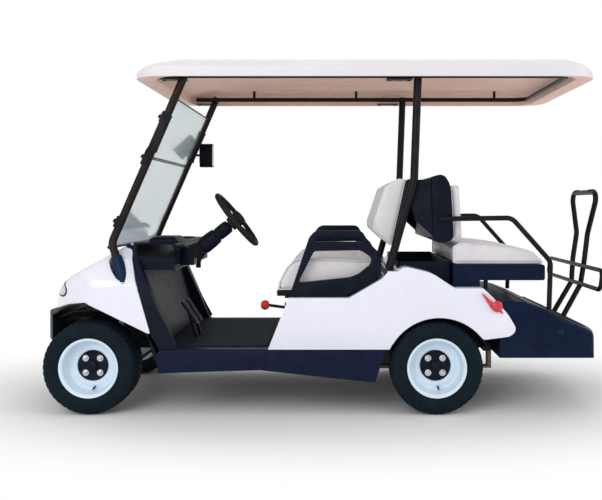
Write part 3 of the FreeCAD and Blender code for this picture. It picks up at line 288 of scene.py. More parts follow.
def roundCorners(piece, places, radius, segments=6):
    # Rounds the cross edges that stand at the given side-view places.
    def chosen(edge):
        a, b = (piece.data.vertices[i].co for i in edge.vertices)
        if abs(a.x - b.x) > 0.001 or abs(a.z - b.z) > 0.001:
            return False
        return any(math.hypot(a.x - x, a.z - z) < 0.004 for x, z in places)

    selectWhere(piece, "EDGE", chosen)
    bpy.ops.mesh.bevel(offset=radius, segments=segments, affect="EDGES", clamp_overlap=True)
    leaveEdit()
    return piece


def trimmed(piece, tool, how):
    # A boolean with another solid, which is used up.
    useModifier(piece, "BOOLEAN", operation=how, object=tool, solver="EXACT")
    bpy.data.objects.remove(tool)
    return piece


def softened(nodeName, width, corners=(), segments=3, angle=30):
    # The node's own shape with its outline's corners eased and all its edges rounded.
    piece = nodeCopy(nodeName, "Soft_" + nodeName)
    for radius, places in corners:
        roundCorners(piece, placed(places), radius)
    if nodeName in cutAway:
        trimmed(piece, plate("Trim", cutAway[nodeName], -0.6, 0.6), "DIFFERENCE")
    return roundEdges(piece, width, segments, angle)


def startFinish(name, colour, roughness, **sockets):
    material = bpy.data.materials.new(name)
    material.use_nodes = True
    shader = shaderOf(material)
    shader.inputs["Base Color"].default_value = (*colour, 1)
    shader.inputs["Roughness"].default_value = roughness
    for socket, value in sockets.items():
        shader.inputs[socket.replace("_", " ")].default_value = value
    return material


def shaderOf(material):
    return material.node_tree.nodes["Principled BSDF"]


def addNode(tree, kind, settings=None, **sockets):
    # A new node with its settings, each socket given a value or linked to another's output.
    node = tree.nodes.new("ShaderNode" + kind)
    for key, value in (settings or {}).items():
        setattr(node, key, value)
    for key, value in sockets.items():
        feed(tree, node.inputs[key.replace("_", " ")], value)
    return node


def feed(tree, socket, value):
    if isinstance(value, bpy.types.NodeSocket):
        tree.links.new(value, socket)
    else:
        socket.default_value = value


def objectPlace(material, stretch=(1, 1, 1)):
    tree = material.node_tree
    place = addNode(tree, "TexCoord").outputs["Object"]
    return addNode(tree, "Mapping", Scale=stretch, Vector=place).outputs["Vector"]


def noiseOn(material, scale, detail=4, rough=0.55, stretch=(1, 1, 1)):
    return addNode(material.node_tree, "TexNoise", Scale=scale, Detail=detail, Roughness=rough,
                   Vector=objectPlace(material, stretch)).outputs["Fac"]


def cellsOn(material, scale):
    return addNode(material.node_tree, "TexVoronoi", Scale=scale,
                   Vector=objectPlace(material)).outputs["Distance"]


def heightOn(material, low, high):
    # Goes from 0 at the low place to 1 at the high one.
    tree = material.node_tree
    height = addNode(tree, "SeparateXYZ", Vector=objectPlace(material)).outputs["Z"]
    return addNode(tree, "MapRange", From_Min=low, From_Max=high, Value=height).outputs["Result"]


def times(tree, first, second, kind="MULTIPLY"):
    node = addNode(tree, "Math", {"operation": kind})
    feed(tree, node.inputs[0], first)
    feed(tree, node.inputs[1], second)
    return node.outputs["Value"]


def colourBy(material, factor, stops):
    # Colours the base by a factor through a few stops of (place, colour).
    tree = material.node_tree
    ramp = addNode(tree, "ValToRGB", Fac=factor)
    elements = ramp.color_ramp.elements
    while len(elements) < len(stops):
        elements.new(0.5)
    for element, (place, colour) in zip(elements, stops):
        element.position = place
        element.color = (*colour, 1)
    feed(tree, shaderOf(material).inputs["Base Color"], ramp.outputs["Color"])
    return ramp.outputs["Color"]


def dustOver(material, under, dust, low, high, specks, amount):
    # Dust in specks over the colour, thickest low down.
    tree = material.node_tree
    factor = times(tree, times(tree, heightOn(material, low, high), specks), amount)
    mix = addNode(tree, "Mix", {"data_type": "RGBA"}, Factor=factor)
    feed(tree, mix.inputs["A"], under)
    feed(tree, mix.inputs["B"], (*dust, 1))
    feed(tree, shaderOf(material).inputs["Base Color"], mix.outputs["Result"])


def roughBy(material, factor, low, high):
    span = addNode(material.node_tree, "MapRange", To_Min=low, To_Max=high, Value=factor)
    feed(material.node_tree, shaderOf(material).inputs["Roughness"], span.outputs["Result"])


def bumpBy(material, factor, strength, distance):
    tree = material.node_tree
    normal = shaderOf(material).inputs["Normal"]
    bump = addNode(tree, "Bump", Strength=strength, Distance=distance, Height=factor)
    if normal.is_linked:
        feed(tree, bump.inputs["Normal"], normal.links[0].from_socket)
    feed(tree, normal, bump.outputs["Normal"])


def paintedBody(name, clean, tone, dust, dustTop, coat=(0.6, 0.06), rough=(0.17, 0.33)):
    # Moulded panels: slow changes of tone, orange peel, and road dust low down.
    material = startFinish(name, clean, 0.22, Coat_Weight=coat[0], Coat_Roughness=coat[1])
    base = colourBy(material, noiseOn(material, 2.2, 3), [(0.3, clean), (0.75, tone)])
    dustOver(material, base, dust, dustTop, 0.18, noiseOn(material, 30, 6, 0.7), 0.55)
    roughBy(material, noiseOn(material, 9, 4), *rough)
    bumpBy(material, noiseOn(material, 420, 2), 0.05, 0.0006)
    return material


def grainedPlastic(name, dark, light, roughness, grain=900, dustLow=0.0):
    # Moulded black plastic: a fine leather-like grain with scuffs and a little dust.
    material = startFinish(name, dark, roughness, Specular_IOR_Level=0.09)
    base = colourBy(material, noiseOn(material, 14, 8, 0.7), [(0.35, dark), (0.8, light)])
    if dustLow:
        dustOver(material, base, (0.1, 0.095, 0.095), dustLow, dustLow - 0.25,
                 noiseOn(material, 60, 5, 0.75), 0.07)
    roughBy(material, noiseOn(material, 25, 6), roughness - 0.1, roughness + 0.12)
    bumpBy(material, cellsOn(material, grain), 0.25, 0.0005)
    bumpBy(material, noiseOn(material, 60, 3), 0.05, 0.001)
    return material


def coatedSteel(name, dark, light, roughness=0.36):
    # Powder coat: a pebbled skin that is a little worn.
    material = startFinish(name, dark, roughness, Specular_IOR_Level=0.12, Coat_Weight=0.06,
                           Coat_Roughness=0.3)
    colourBy(material, noiseOn(material, 20, 7, 0.7), [(0.4, dark), (0.85, light)])
    roughBy(material, noiseOn(material, 40, 4), roughness - 0.08, roughness + 0.14)
    bumpBy(material, noiseOn(material, 650, 3), 0.16, 0.0006)
    return material


def bareMetal(name, colour, roughness, mark):
    material = startFinish(name, colour, roughness, Metallic=1.0)
    colourBy(material, noiseOn(material, 35, 6), [(0.3, colour), (0.85, mark)])
    roughBy(material, noiseOn(material, 90, 5), roughness - 0.05, roughness + 0.15)
    bumpBy(material, noiseOn(material, 300, 3), 0.05, 0.0004)
    return material


def seatVinyl(name, clean, tone):
    # Marine vinyl: pebbled grain, soft creases, faint wear of tone.
    material = startFinish(name, clean, 0.42, Coat_Weight=0.12, Coat_Roughness=0.35,
                           Sheen_Weight=0.08)
    colourBy(material, noiseOn(material, 5, 6, 0.6), [(0.3, tone), (0.62, clean)])
    roughBy(material, noiseOn(material, 18, 5), 0.34, 0.52)
    bumpBy(material, noiseOn(material, 11, 5, 0.6, (1, 2.2, 1)), 0.25, 0.004)
    bumpBy(material, cellsOn(material, 620), 0.35, 0.0006)
    return material


def tyreRubber(name):
    material = startFinish(name, (0.004, 0.01, 0.016), 0.72, Specular_IOR_Level=0.12)
    colourBy(material, noiseOn(material, 26, 8, 0.75), [
        (0.35, (0.0022, 0.0075, 0.013)), (0.62, (0.005, 0.014, 0.022)),
        (0.92, (0.028, 0.036, 0.042))])
    roughBy(material, noiseOn(material, 50, 5), 0.6, 0.86)
    bumpBy(material, noiseOn(material, 420, 5, 0.7), 0.3, 0.0008)
    return material


def tintedScreen(name, tint, roughness):
    material = startFinish(name, tint, roughness, Transmission_Weight=0.86, IOR=1.45,
                           Coat_Weight=0.3, Coat_Roughness=0.03)
    hazy = tuple(value * 0.86 for value in tint)
    colourBy(material, noiseOn(material, 3.2, 4, 0.6), [(0.3, tint), (0.8, hazy)])
    roughBy(material, noiseOn(material, 6, 5), roughness, roughness + 0.1)
    return material


def lampLens(name, deep, bright, clear=0.45):
    # A moulded lens with fine optic ribs behind its face.
    material = startFinish(name, bright, 0.12, Transmission_Weight=clear, IOR=1.49,
                           Coat_Weight=0.7, Coat_Roughness=0.03)
    wave = addNode(material.node_tree, "TexWave", {"bands_direction": "X"}, Scale=55,
                   Distortion=0.4, Vector=objectPlace(material)).outputs["Fac"]
    colourBy(material, wave, [(0.15, deep), (0.8, bright)])
    bumpBy(material, wave, 0.25, 0.001)
    return material


finishes = {
    # finish: (kind, its slot, what sets it)
    "bodyWhite": (paintedBody, "white_body", (0.85, 0.857, 0.95), (0.8, 0.81, 0.915),
                  (0.42, 0.4, 0.42), 0.44),
    "roofWhite": (paintedBody, "roof_white", (0.8, 0.775, 0.8), (0.75, 0.728, 0.755),
                  (0.6, 0.58, 0.58), 0.2, (0.15, 0.4), (0.42, 0.58)),
    "blackPlastic": (grainedPlastic, "black_plastic", (0.0025, 0.0045, 0.011),
                     (0.008, 0.013, 0.026), 0.42, 900, 0.5),
    "sillPlastic": (grainedPlastic, "black_plastic", (0.002, 0.0065, 0.026),
                    (0.006, 0.015, 0.046), 0.38, 900, 0.42),
    "podPlastic": (grainedPlastic, "black_plastic", (0.006, 0.018, 0.05),
                   (0.014, 0.032, 0.075), 0.33),
    "matRubber": (grainedPlastic, "black_plastic", (0.004, 0.009, 0.018),
                  (0.012, 0.02, 0.034), 0.58, 500, 0.6),
    "wellLining": (grainedPlastic, "black_plastic", (0.006, 0.006, 0.007),
                   (0.03, 0.028, 0.027), 0.8, 300, 0.5),
    "gripFoam": (grainedPlastic, "black_plastic", (0.01, 0.01, 0.012), (0.03, 0.03, 0.033),
                 0.55, 1400),
    "blackSteel": (coatedSteel, "black_steel", (0.0045, 0.0045, 0.006), (0.016, 0.015, 0.016)),
    "strutSteel": (coatedSteel, "black_steel", (0.012, 0.006, 0.006), (0.036, 0.02, 0.018)),
    "frameSteel": (coatedSteel, "black_steel", (0.009, 0.009, 0.011), (0.04, 0.034, 0.03), 0.5),
    "motorCase": (coatedSteel, "black_steel", (0.06, 0.062, 0.066), (0.13, 0.12, 0.115), 0.5),
    "wheelPaint": (coatedSteel, "wheel_white", (0.75, 0.88, 0.98), (0.68, 0.8, 0.91), 0.3),
    "springSteel": (bareMetal, "black_steel", (0.1, 0.095, 0.09), 0.45, (0.22, 0.15, 0.11)),
    "brightSteel": (bareMetal, "screen", (0.7, 0.71, 0.73), 0.2, (0.45, 0.45, 0.46)),
    "seatVinyl": (seatVinyl, "seat_cover", (0.78, 0.765, 0.785), (0.7, 0.685, 0.715)),
    "tyreRubber": (tyreRubber, "tyre_rubber"),
    "screenTint": (tintedScreen, "screen", (0.6, 0.71, 0.73), 0.06),
    "redLens": (lampLens, "lamp_red", (0.6, 0.006, 0.02), (0.9, 0.035, 0.045), 0.2),
    "clearLens": (lampLens, "screen", (0.8, 0.82, 0.86), (0.93, 0.95, 0.98), 0.45),
    "redKnob": (grainedPlastic, "lamp_red", (0.62, 0.04, 0.02), (0.8, 0.1, 0.05), 0.3),
    # The roof's underside: a pale liner whose peach colours are painted warm light bounced up
    # from the ground.
    "roofLiner": (grainedPlastic, "roof_white", (0.9, 0.62, 0.51), (0.97, 0.75, 0.64), 0.5, 500),
}
finish, usualSlot = {}, {}
for name, (kind, slotName, *values) in finishes.items():
    finish[name] = kind(name[0].upper() + name[1:], *values)
    usualSlot[name] = slotName
print("finishes ready:", len(finish))


plainNodes = {
    # node: (finish, edge radius)
    "front_cowl": ("bodyWhite", 0.012),
    "rear_body": ("bodyWhite", 0.012),
    "roof": ("roofWhite", 0.01),
    "floor_tray": ("matRubber", 0.002),
    "rocker_panels": ("sillPlastic", 0.008),
    "dash_console": ("blackPlastic", 0.006),
    "rear_deck": ("sillPlastic", 0.01),
    "front_bumper": ("blackPlastic", 0.012),
    "bagwell": ("blackPlastic", 0.0015),
    "rear_backrest_shell": ("blackPlastic", 0.008),
    "front_backrest_shell": ("blackPlastic", 0.01),
    "front_armrests": ("blackPlastic", 0.008),
    "rear_seat_pan": ("sillPlastic", 0.008),
    "strut_pods": ("podPlastic", 0.006),
    "side_mirror": ("blackPlastic", 0.01),
    "front_seat_base": ("blackPlastic", 0.004),
    "steering_column": ("blackPlastic", 0.003),
    "tail_lights": ("redLens", 0.003),
}


def ramp(value, start, full):
    return min(1, max(0, (value - start) / (full - start)))


def awayFrom(line, x, z):
    # How far a side-view place is from a line of places behind the front axle.
    nearest = 1.0
    place = Vector((x, z))
    for (x0, z0), (x1, z1) in zip(line, line[1:]):
        a, b = Vector((alongX(x0), z0)), Vector((alongX(x1), z1))
        share = geometry.intersect_point_line(place, a, b)[1]
        nearest = min(nearest, (a.lerp(b, ramp(share, 0, 1)) - place).length)
    return nearest


def mouldedSkin(piece, voxel, rounds, shareAt):
    # Remeshes a shell evenly and relaxes it by the share that each place gets.
    useModifier(piece, "REMESH", mode="VOXEL", voxel_size=voxel)
    group = piece.vertex_groups.new(name="relax")
    for vertex in piece.data.vertices:
        group.add([vertex.index], shareAt(vertex.co.x, vertex.co.z), "REPLACE")
    useModifier(piece, "SMOOTH", factor=0.5, iterations=rounds, vertex_group="relax")
    useModifier(piece, "SMOOTH", factor=0.5, iterations=2)
    useModifier(piece, "DECIMATE", ratio=0.3)
    return smooth(piece, 60)


cowlRim = [(-0.33, 0.46), (-0.13, 0.53), (-0.018, 0.548), (0.104, 0.489), (0.33, 0.38)]
relaxed = {
    # node: (voxel, rounds, how much each place gives way)
    "front_cowl": (0.004, 250, lambda x, z: ramp(awayFrom(cowlRim, x, z), 0.012, 0.057)
                   * ramp(x, alongX(0.15), alongX(0.09))),
    "rear_deck": (0.004, 260, lambda x, z: ramp(z, 0.29, 0.325)
                  * ramp(x, alongX(2.12), alongX(2.2))),
}
easedCorners = {
    # node: [(radius, [(behind the front axle, height), ...]), ...]
    "front_cowl": [(0.055, [(-0.13, 0.53), (-0.018, 0.548), (0.104, 0.489)]),
                   (0.02, [(0.306, 0.391)])],
    "rear_body": [(0.045, [(1.974, 0.574), (2.046, 0.494), (1.535, 0.728), (1.674, 0.695)]),
                  (0.02, [(2.088, 0.42), (2.06, 0.386)])],
    "rear_backrest_shell": [(0.026, [(1.744, 1.182), (1.778, 1.126), (1.794, 0.852)]),
                            (0.016, [(1.686, 1.169), (1.729, 0.835)])],
    "front_backrest_shell": [(0.012, [(1.562, 1.156), (1.592, 1.156), (1.489, 0.824),
                                      (1.519, 0.824)])],
    "front_armrests": [(0.07, [(1.27, 0.572)]), (0.045, [(1.43, 0.665)]),
                       (0.034, [(1.432, 0.779), (1.3, 0.672), (1.365, 0.845)]),
                       (0.022, [(1.336, 0.9), (1.103, 0.9), (1.385, 0.738)]),
                       (0.016, [(1.074, 0.865), (1.378, 0.77), (1.328, 0.803),
                                (1.1, 0.799), (1.02, 0.642)]),
                       (0.007, [(1.098, 0.845), (1.341, 0.845), (1.316, 0.869),
                                (1.128, 0.869)])],
    "rear_deck": [(0.05, [(2.132, 0.555), (2.238, 0.516)]),
                  (0.03, [(2.335, 0.467), (2.457, 0.412), (2.52, 0.395), (2.56, 0.36)])],
    "front_bumper": [(0.014, [(-0.345, 0.43), (-0.328, 0.464), (-0.317, 0.33)])],
    "rear_seat_pan": [(0.012, [(1.79, 0.73), (2.245, 0.73), (2.245, 0.652)])],
    "rocker_panels": [(0.02, [(1.454, 0.159)])],
}
cutAway = {
    # node: side-view outline that is cut away, here the thin tip under the tail
    "rear_body": [(rearAxleX - 0.3, 0.25), (rearAxleX - 0.19, 0.25),
                  (rearAxleX - 0.19, 0.3705), (rearAxleX - 0.3, 0.3705)],
}
for nodeName, (finishName, width) in plainNodes.items():
    piece = softened(nodeName, width, easedCorners.get(nodeName, ()))
    if nodeName in relaxed:
        mouldedSkin(piece, *relaxed[nodeName])
    dress(piece, finishName, nodeName,
          body="front_seat" if nodeName == "front_seat_base" else "chassis")
bonnet = bpy.data.objects["Soft_front_cowl"]

keptNodes = {
    "wellLining": ("wheel_wells",),
    "strutSteel": ("front_struts",),
    "blackSteel": ("mid_struts", "roof_rails", "rear_armrests", "rack_frame", "rack_rails"),
    "frameSteel": ("chassis_frame", "front_axle_beam", "rear_axle", "knuckle_left",
                   "knuckle_right", "tie_rod", "seat_hinge"),
    "springSteel": ("rear_springs",),
    "motorCase": ("drive_motor",),
    "blackPlastic": ("battery_pack", "pedals"),
    "gripFoam": ("steering_wheel",),
    "screenTint": ("windshield_lower", "windshield_upper"),
}
for finishName, nodeNames in keptNodes.items():
    for nodeName in nodeNames:
        kept = frame["nodes"][nodeName]
        kept.data.materials.clear()
        kept.data.materials.append(finish[finishName])
print("plain pieces done")


tyre = {"radius": 0.2295, "half": 0.1, "bead": 0.1272, "blocks": 44, "groove": 0.007}


def tyreRing(name, centre):
    # Rounded street tread: ribs cut by grooves round it, then blocks cut across the shoulders.
    r, half, bead = tyre["radius"], tyre["half"], tyre["bead"]
    deep = r - tyre["groove"]
    side = [(bead, -0.074), (bead + 0.006, -0.082), (bead + 0.02, -0.091),
            (bead + 0.026, -0.0925), (bead + 0.03, -0.0965), (bead + 0.046, -half),
            (bead + 0.062, -0.0995), (bead + 0.07, -0.0975), (r - 0.022, -0.094),
            (r - 0.009, -0.086), (r - 0.0035, -0.078)]
    tread = [(r - 0.002, -0.06), (deep, -0.058), (deep, -0.052), (r - 0.001, -0.05),
             (r, -0.028), (deep, -0.026), (deep, -0.019), (r, -0.017), (r, 0.0)]
    first = side + tread
    profile = first + [(radius, -along) for radius, along in reversed(first[:-1])]
    profile = profile + [(bead + 0.006, 0.06), (bead + 0.006, -0.06)]
    ring = turnedPiece(name, profile, (0, 0, 0), "Y", 176)
    step = math.tau / tyre["blocks"]

    def onBlock(face):
        middle = face.center
        radius = math.hypot(middle.x, middle.z)
        if radius < r - 0.016 or face.normal.dot(Vector((middle.x, 0, middle.z))) < 0.02:
            return False
        turn = (math.atan2(middle.z, middle.x) + math.tau + (middle.y > 0) * step / 2) % step
        shoulder = 0.058 < abs(middle.y) < 0.088
        rib = 0.028 < abs(middle.y) < 0.05 and radius > r - 0.003
        return (shoulder or rib) and turn < step * 0.26

    selectWhere(ring, "FACE", onBlock)
    bpy.ops.mesh.extrude_region_move()
    bpy.ops.transform.shrink_fatten(value=-0.0045)
    leaveEdit()
    ring.data.transform(Matrix.Translation(centre))
    return smooth(ring, 40)


wheel = {"studs": 4, "pitch": 0.0508, "face": 0.0125, "out": 0.475}


def sided(profile, side, bore=0.0):
    # A profile that faces out of the cart's left or right side.
    return [(radius + bore, along * side) for radius, along in profile]


def wheelRim(name, centre, side):
    # Pressed steel rim, seen from outside as a lip, a drop and a slightly dished disc.
    profile = [(0.146, 0.092), (0.1448, 0.094), (0.14, 0.0938), (0.1345, 0.09), (0.13, 0.084),
               (0.1275, 0.074), (0.1255, 0.05), (0.1235, 0.026), (0.119, 0.016),
               (0.11, 0.0125), (0.1, 0.015), (0.092, 0.0175), (0.084, 0.016), (0.078, 0.0115),
               (0.07, 0.0085), (0.054, 0.008), (0.04, 0.009), (0.033, 0.009), (0.033, 0.006),
               (0.07, 0.002), (0.09, 0.012), (0.117, 0.004), (0.1218, -0.05),
               (0.125, -0.076), (0.1365, -0.086), (0.144, -0.093), (0.146, -0.092),
               (0.14, -0.084), (0.1275, -0.074), (0.1272, -0.045), (0.1272, 0.03),
               (0.1284, 0.062), (0.13, 0.074), (0.139, 0.08), (0.144, 0.09)]
    return smooth(turnedPiece(name, sided(profile, side), centre, "Y", 96), 50)


def ringOf(count, radius, start=0.0):
    for i in range(count):
        turn = start + math.tau * i / count
        yield math.cos(turn) * radius, math.sin(turn) * radius


def hubParts(name, centre, side):
    # Black hub plate with a stepped face, four bright studs with nuts and a dust cap.
    x, y, z = centre
    face = wheel["face"]
    disc = turnedPiece(name + "Plate", sided([
        (0.0, face + 0.004), (0.03, face + 0.004), (0.034, face + 0.001),
        (0.066, face + 0.001), (0.072, face + 0.0035), (0.0755, face + 0.0025),
        (0.0765, face - 0.003), (0.06, face - 0.008), (0.0, face - 0.008)], side, 0.0001),
        centre, "Y", 64)
    cap = turnedPiece(name + "Cap", sided([
        (0.0, face + 0.02), (0.012, face + 0.0195), (0.021, face + 0.016),
        (0.0235, face + 0.01), (0.024, face + 0.002), (0.0, face + 0.001)], side, 0.0001),
        centre, "Y", 40)
    bright = []
    for across, up in ringOf(wheel["studs"], wheel["pitch"], math.radians(45)):
        nutX, nutY, nutZ = x + across, y + side * (face + 0.008), z + up
        pick()
        bpy.ops.mesh.primitive_cylinder_add(vertices=6, radius=0.0108, depth=0.014,
                                            location=(nutX, nutY, nutZ),
                                            rotation=(math.pi / 2, 0, 0))
        nut = roundEdges(settle(bpy.context.object), 0.0016, 2, 20)
        stud = turnedPiece("Stud", sided([
            (0.0, 0.009), (0.0045, 0.009), (0.006, 0.0075), (0.006, -0.002), (0.0, -0.002)],
            side, 0.0001), (nutX, nutY + side * 0.006, nutZ), "Y", 18)
        washer = turnedPiece("Washer", sided([
            (0.007, 0.002), (0.015, 0.002), (0.0165, 0.0008), (0.0165, -0.001),
            (0.007, -0.001)], side), (nutX, y + side * (face + 0.002), nutZ), "Y", 24)
        bright += [nut, stud, washer]
    return together(name + "Black", [disc, cap]), together(name + "Nuts", bright)


def valveStem(name, centre, side):
    x, y, z = centre
    foot = Vector((x - 0.012, y + side * 0.014, z - 0.104))
    tip = foot + Vector((0, side * 0.026, -0.004))
    stem = barBetween(name, foot, tip, 0.0042, 16, 0.0036)
    cap = barBetween(name + "Cap", tip, tip + Vector((0, side * 0.009, -0.0015)), 0.0048, 12)
    return together(name, [stem, cap])


for end, x in (("front", frontAxleX), ("rear", rearAxleX)):
    for sideName, side in (("left", 1), ("right", -1)):
        body = f"wheel_{end}_{sideName}"
        place = (x, side * wheel["out"], axleZ)
        label = end.title() + sideName.title()
        dress(tyreRing("Tyre" + label, place), "tyreRubber", f"tyre_{end}_{sideName}", body=body)
        dress(wheelRim("Rim" + label, place, side), "wheelPaint", body, body=body)
        black, bright = hubParts("Hub" + label, place, side)
        dress(black, "blackPlastic", body=body, slot="black_steel")
        dress(bright, "brightSteel", body=body, slot="wheel_white")
        dress(valveStem("Valve" + label, place, side), "gripFoam", body=body)
        inner = turnedPiece("HubInner" + label, sided([
            (0.0155, 0.0), (0.052, -0.002), (0.05, -0.05), (0.06, -0.054), (0.06, -0.072),
            (0.0155, -0.072)], side), place, "Y", 40)
        dress(inner, "frameSteel", body=body)
print("wheels done")


def sideLoop(piece):
    # The side outline of a prism, as (x, z) points in order.
    side = max((face for face in piece.data.polygons if face.normal.y > 0.99),
               key=lambda face: face.area)
    return [(piece.data.vertices[i].co.x, piece.data.vertices[i].co.z) for i in side.vertices]


def drawnIn(loop, amount):
    # The outline moved inwards by the same amount all round.
    count = len(loop)
    area = sum(loop[i][0] * loop[(i + 1) % count][1] - loop[(i + 1) % count][0] * loop[i][1]
               for i in range(count))
    sign = 1 if area > 0 else -1
    moved = []
    for i, point in enumerate(loop):
        before = Vector(point) - Vector(loop[i - 1])
        after = Vector(loop[(i + 1) % count]) - Vector(point)
        before.normalize()
        after.normalize()
        first, second = Vector((-before.y, before.x)), Vector((-after.y, after.x))
        middle = (first + second) / max(0.6, 1 + first.dot(second))
        moved.append(Vector(point) + middle * amount * sign)
    return moved


def stuffed(name, nodeName, pad):
    # Foam under sewn vinyl: remeshed, held at its seams and blown up a little between them.
    piece = nodeCopy(nodeName, name)
    loop = sideLoop(piece)
    low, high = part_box(nodeName)
    roundEdges(piece, pad["edge"], 4)
    shrink = pad["shrink"]
    middle = (Vector(low) + Vector(high)) / 2
    span = Vector(high) - Vector(low)
    scale = [1 - 2 * shrink / max(span[i], 0.02) for i in range(3)]
    piece.data.transform(Matrix.Translation(middle) @ Matrix.Diagonal((*scale, 1)) @
                         Matrix.Translation(-middle))
    useModifier(piece, "REMESH", mode="VOXEL", voxel_size=pad["voxel"])
    mesh = piece.data
    normals = [vertex.normal.copy() for vertex in mesh.vertices]
    hold = piece.vertex_groups.new(name="Seams")
    for vertex, normal in zip(mesh.vertices, normals):
        nearest, dent = 1.0, 0.0
        for seam in pad["seams"]:
            distance = seam["away"](vertex.co, normal)
            nearest = min(nearest, distance)
            dent = max(dent, seam["depth"] * math.exp(-(distance / seam["width"]) ** 2))
        vertex.co -= normal * dent
        hold.add([vertex.index], math.exp(-(nearest / 0.014) ** 2), "REPLACE")
    swell(piece, pad)
    useModifier(piece, "SMOOTH", factor=0.5, iterations=3)
    useModifier(piece, "SUBSURF", levels=1, render_levels=1)
    pick(piece)
    bpy.ops.object.shade_smooth()
    return piece, loop


def swell(piece, pad):
    mesh = piece.data
    start = [vertex.co.copy() for vertex in mesh.vertices]
    cloth = piece.modifiers.new("Cloth", "CLOTH")
    cloth.settings.quality = 4
    cloth.settings.mass = 0.4
    cloth.settings.tension_stiffness = 18
    cloth.settings.compression_stiffness = 18
    cloth.settings.bending_stiffness = 0.6
    cloth.settings.use_pressure = True
    cloth.settings.uniform_pressure_force = pad["pressure"]
    cloth.settings.effector_weights.gravity = 0
    cloth.settings.vertex_group_mass = "Seams"
    cloth.point_cache.frame_start = 1
    cloth.point_cache.frame_end = 20
    for step in range(1, 21):
        bpy.context.scene.frame_set(step)
    depsgraph = bpy.context.evaluated_depsgraph_get()
    blown = [vertex.co.copy() for vertex in piece.evaluated_get(depsgraph).data.vertices]
    piece.modifiers.remove(cloth)
    bpy.context.scene.frame_set(1)
    for vertex, before, after in zip(mesh.vertices, start, blown):
        move = after - before
        if move.length > pad["cap"]:
            move = move * (pad["cap"] / move.length)
        vertex.co = before + move


def welt(name, loop, y, radius=0.0042):
    # A sewn cord round the side of a cushion.
    path = [(point.x, y, point.y) for point in drawnIn(loop, 0.006)]
    doubled = []
    for i, place in enumerate(path):
        following = path[(i + 1) % len(path)]
        doubled.append(place)
        for share in (0.12, 0.88):
            doubled.append(tuple(a + (b - a) * share for a, b in zip(place, following)))
    return bentTube(name, doubled, radius, 5, closed=True, sides=2)


def sideSeam(half, where=0.004):
    return {"away": lambda co, normal: abs(abs(co.y) - (half - where)),
            "depth": 0.003, "width": 0.008}


def crossSeam(place, facing=0.3):
    return {"away": lambda co, normal: abs(co.x - place) if normal.z > facing else 1.0,
            "depth": 0.007, "width": 0.01}


def lengthSeam(y, depth=0.008, shown=lambda normal: normal.z > -0.2):
    return {"away": lambda co, normal: abs(co.y - y) if shown(normal) else 1.0,
            "depth": depth, "width": 0.01}


def heightSeam(place, depth=0.006):
    return {"away": lambda co, normal: abs(co.z - place) if abs(normal.x) > 0.3 else 1.0,
            "depth": depth, "width": 0.01}


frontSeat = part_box("front_seat_cushion")
frontHalf = frontSeat[1][1]
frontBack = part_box("front_backrest_cushion")
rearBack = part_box("rear_backrest_cushion")
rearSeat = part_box("rear_seat_cushion")
pads = {
    "front_seat_cushion": {
        "body": "front_seat", "edge": 0.022, "shrink": 0.004, "voxel": 0.0085, "cap": 0.011,
        "pressure": 4.0, "fill": 0.75,
        "seams": [sideSeam(frontHalf, 0.02), lengthSeam(0.0), crossSeam(0.115),
                  crossSeam(-0.2), lengthSeam(0.235, 0.005), lengthSeam(-0.235, 0.005)]},
    "front_backrest_cushion": {
        "body": "chassis", "edge": 0.02, "shrink": 0.004, "voxel": 0.008, "cap": 0.01,
        "pressure": 4.0, "fill": 0.75,
        "seams": [sideSeam(frontBack[1][1], 0.018),
                  lengthSeam(0.0, 0.008, lambda normal: normal.x > 0.2),
                  heightSeam(0.925), heightSeam(1.085),
                  lengthSeam(0.225, 0.005, lambda normal: normal.x > 0.2),
                  lengthSeam(-0.225, 0.005, lambda normal: normal.x > 0.2)]},
    "rear_backrest_cushion": {
        "body": "chassis", "edge": 0.016, "shrink": 0.003, "voxel": 0.0075, "cap": 0.008,
        "pressure": 4.0, "fill": 0.7,
        "seams": [sideSeam(rearBack[1][1], 0.014),
                  lengthSeam(0.0, 0.007, lambda normal: normal.x < -0.2),
                  heightSeam(0.965), heightSeam(1.065)]},
    "rear_seat_cushion": {
        "body": "chassis", "edge": 0.02, "shrink": 0.004, "voxel": 0.0085, "cap": 0.01,
        "pressure": 4.0, "fill": 0.75,
        "seams": [sideSeam(rearSeat[1][1], 0.018), lengthSeam(0.0), crossSeam(-0.98),
                  crossSeam(-0.77)]},
}
for nodeName, pad in pads.items():
    label = "".join(word.title() for word in nodeName.split("_"))
    piece, loop = stuffed(label, nodeName, pad)
    dress(piece, "seatVinyl", nodeName, body=pad["body"])
    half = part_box(nodeName)[1][1]
    cord = withTwin(welt(label + "Welt", loop, half - 0.012), label + "Welts")
    dress(cord, "seatVinyl", body=pad["body"])
    print("cushion done:", label)


def bolt(name, place, way, radius=0.009):
    # A domed hexagon-socket screw on its washer.
    way = Vector(way).normalized()
    place = Vector(place)
    dome = turnedPiece(name, [(0.0001, radius * 0.75), (radius * 0.42, radius * 0.72),
                              (radius * 0.44, radius * 0.35), (radius * 0.55, radius * 0.34),
                              (radius * 0.58, radius * 0.68), (radius * 0.85, radius * 0.42),
                              (radius, 0.0006), (radius * 1.45, 0.0005),
                              (radius * 1.5, -0.0005), (0.0001, -0.0005)], (0, 0, 0), "Z", 18)
    dome.data.transform(Matrix.Translation(place) @
                        way.to_track_quat("Z", "Y").to_matrix().to_4x4())
    return dome


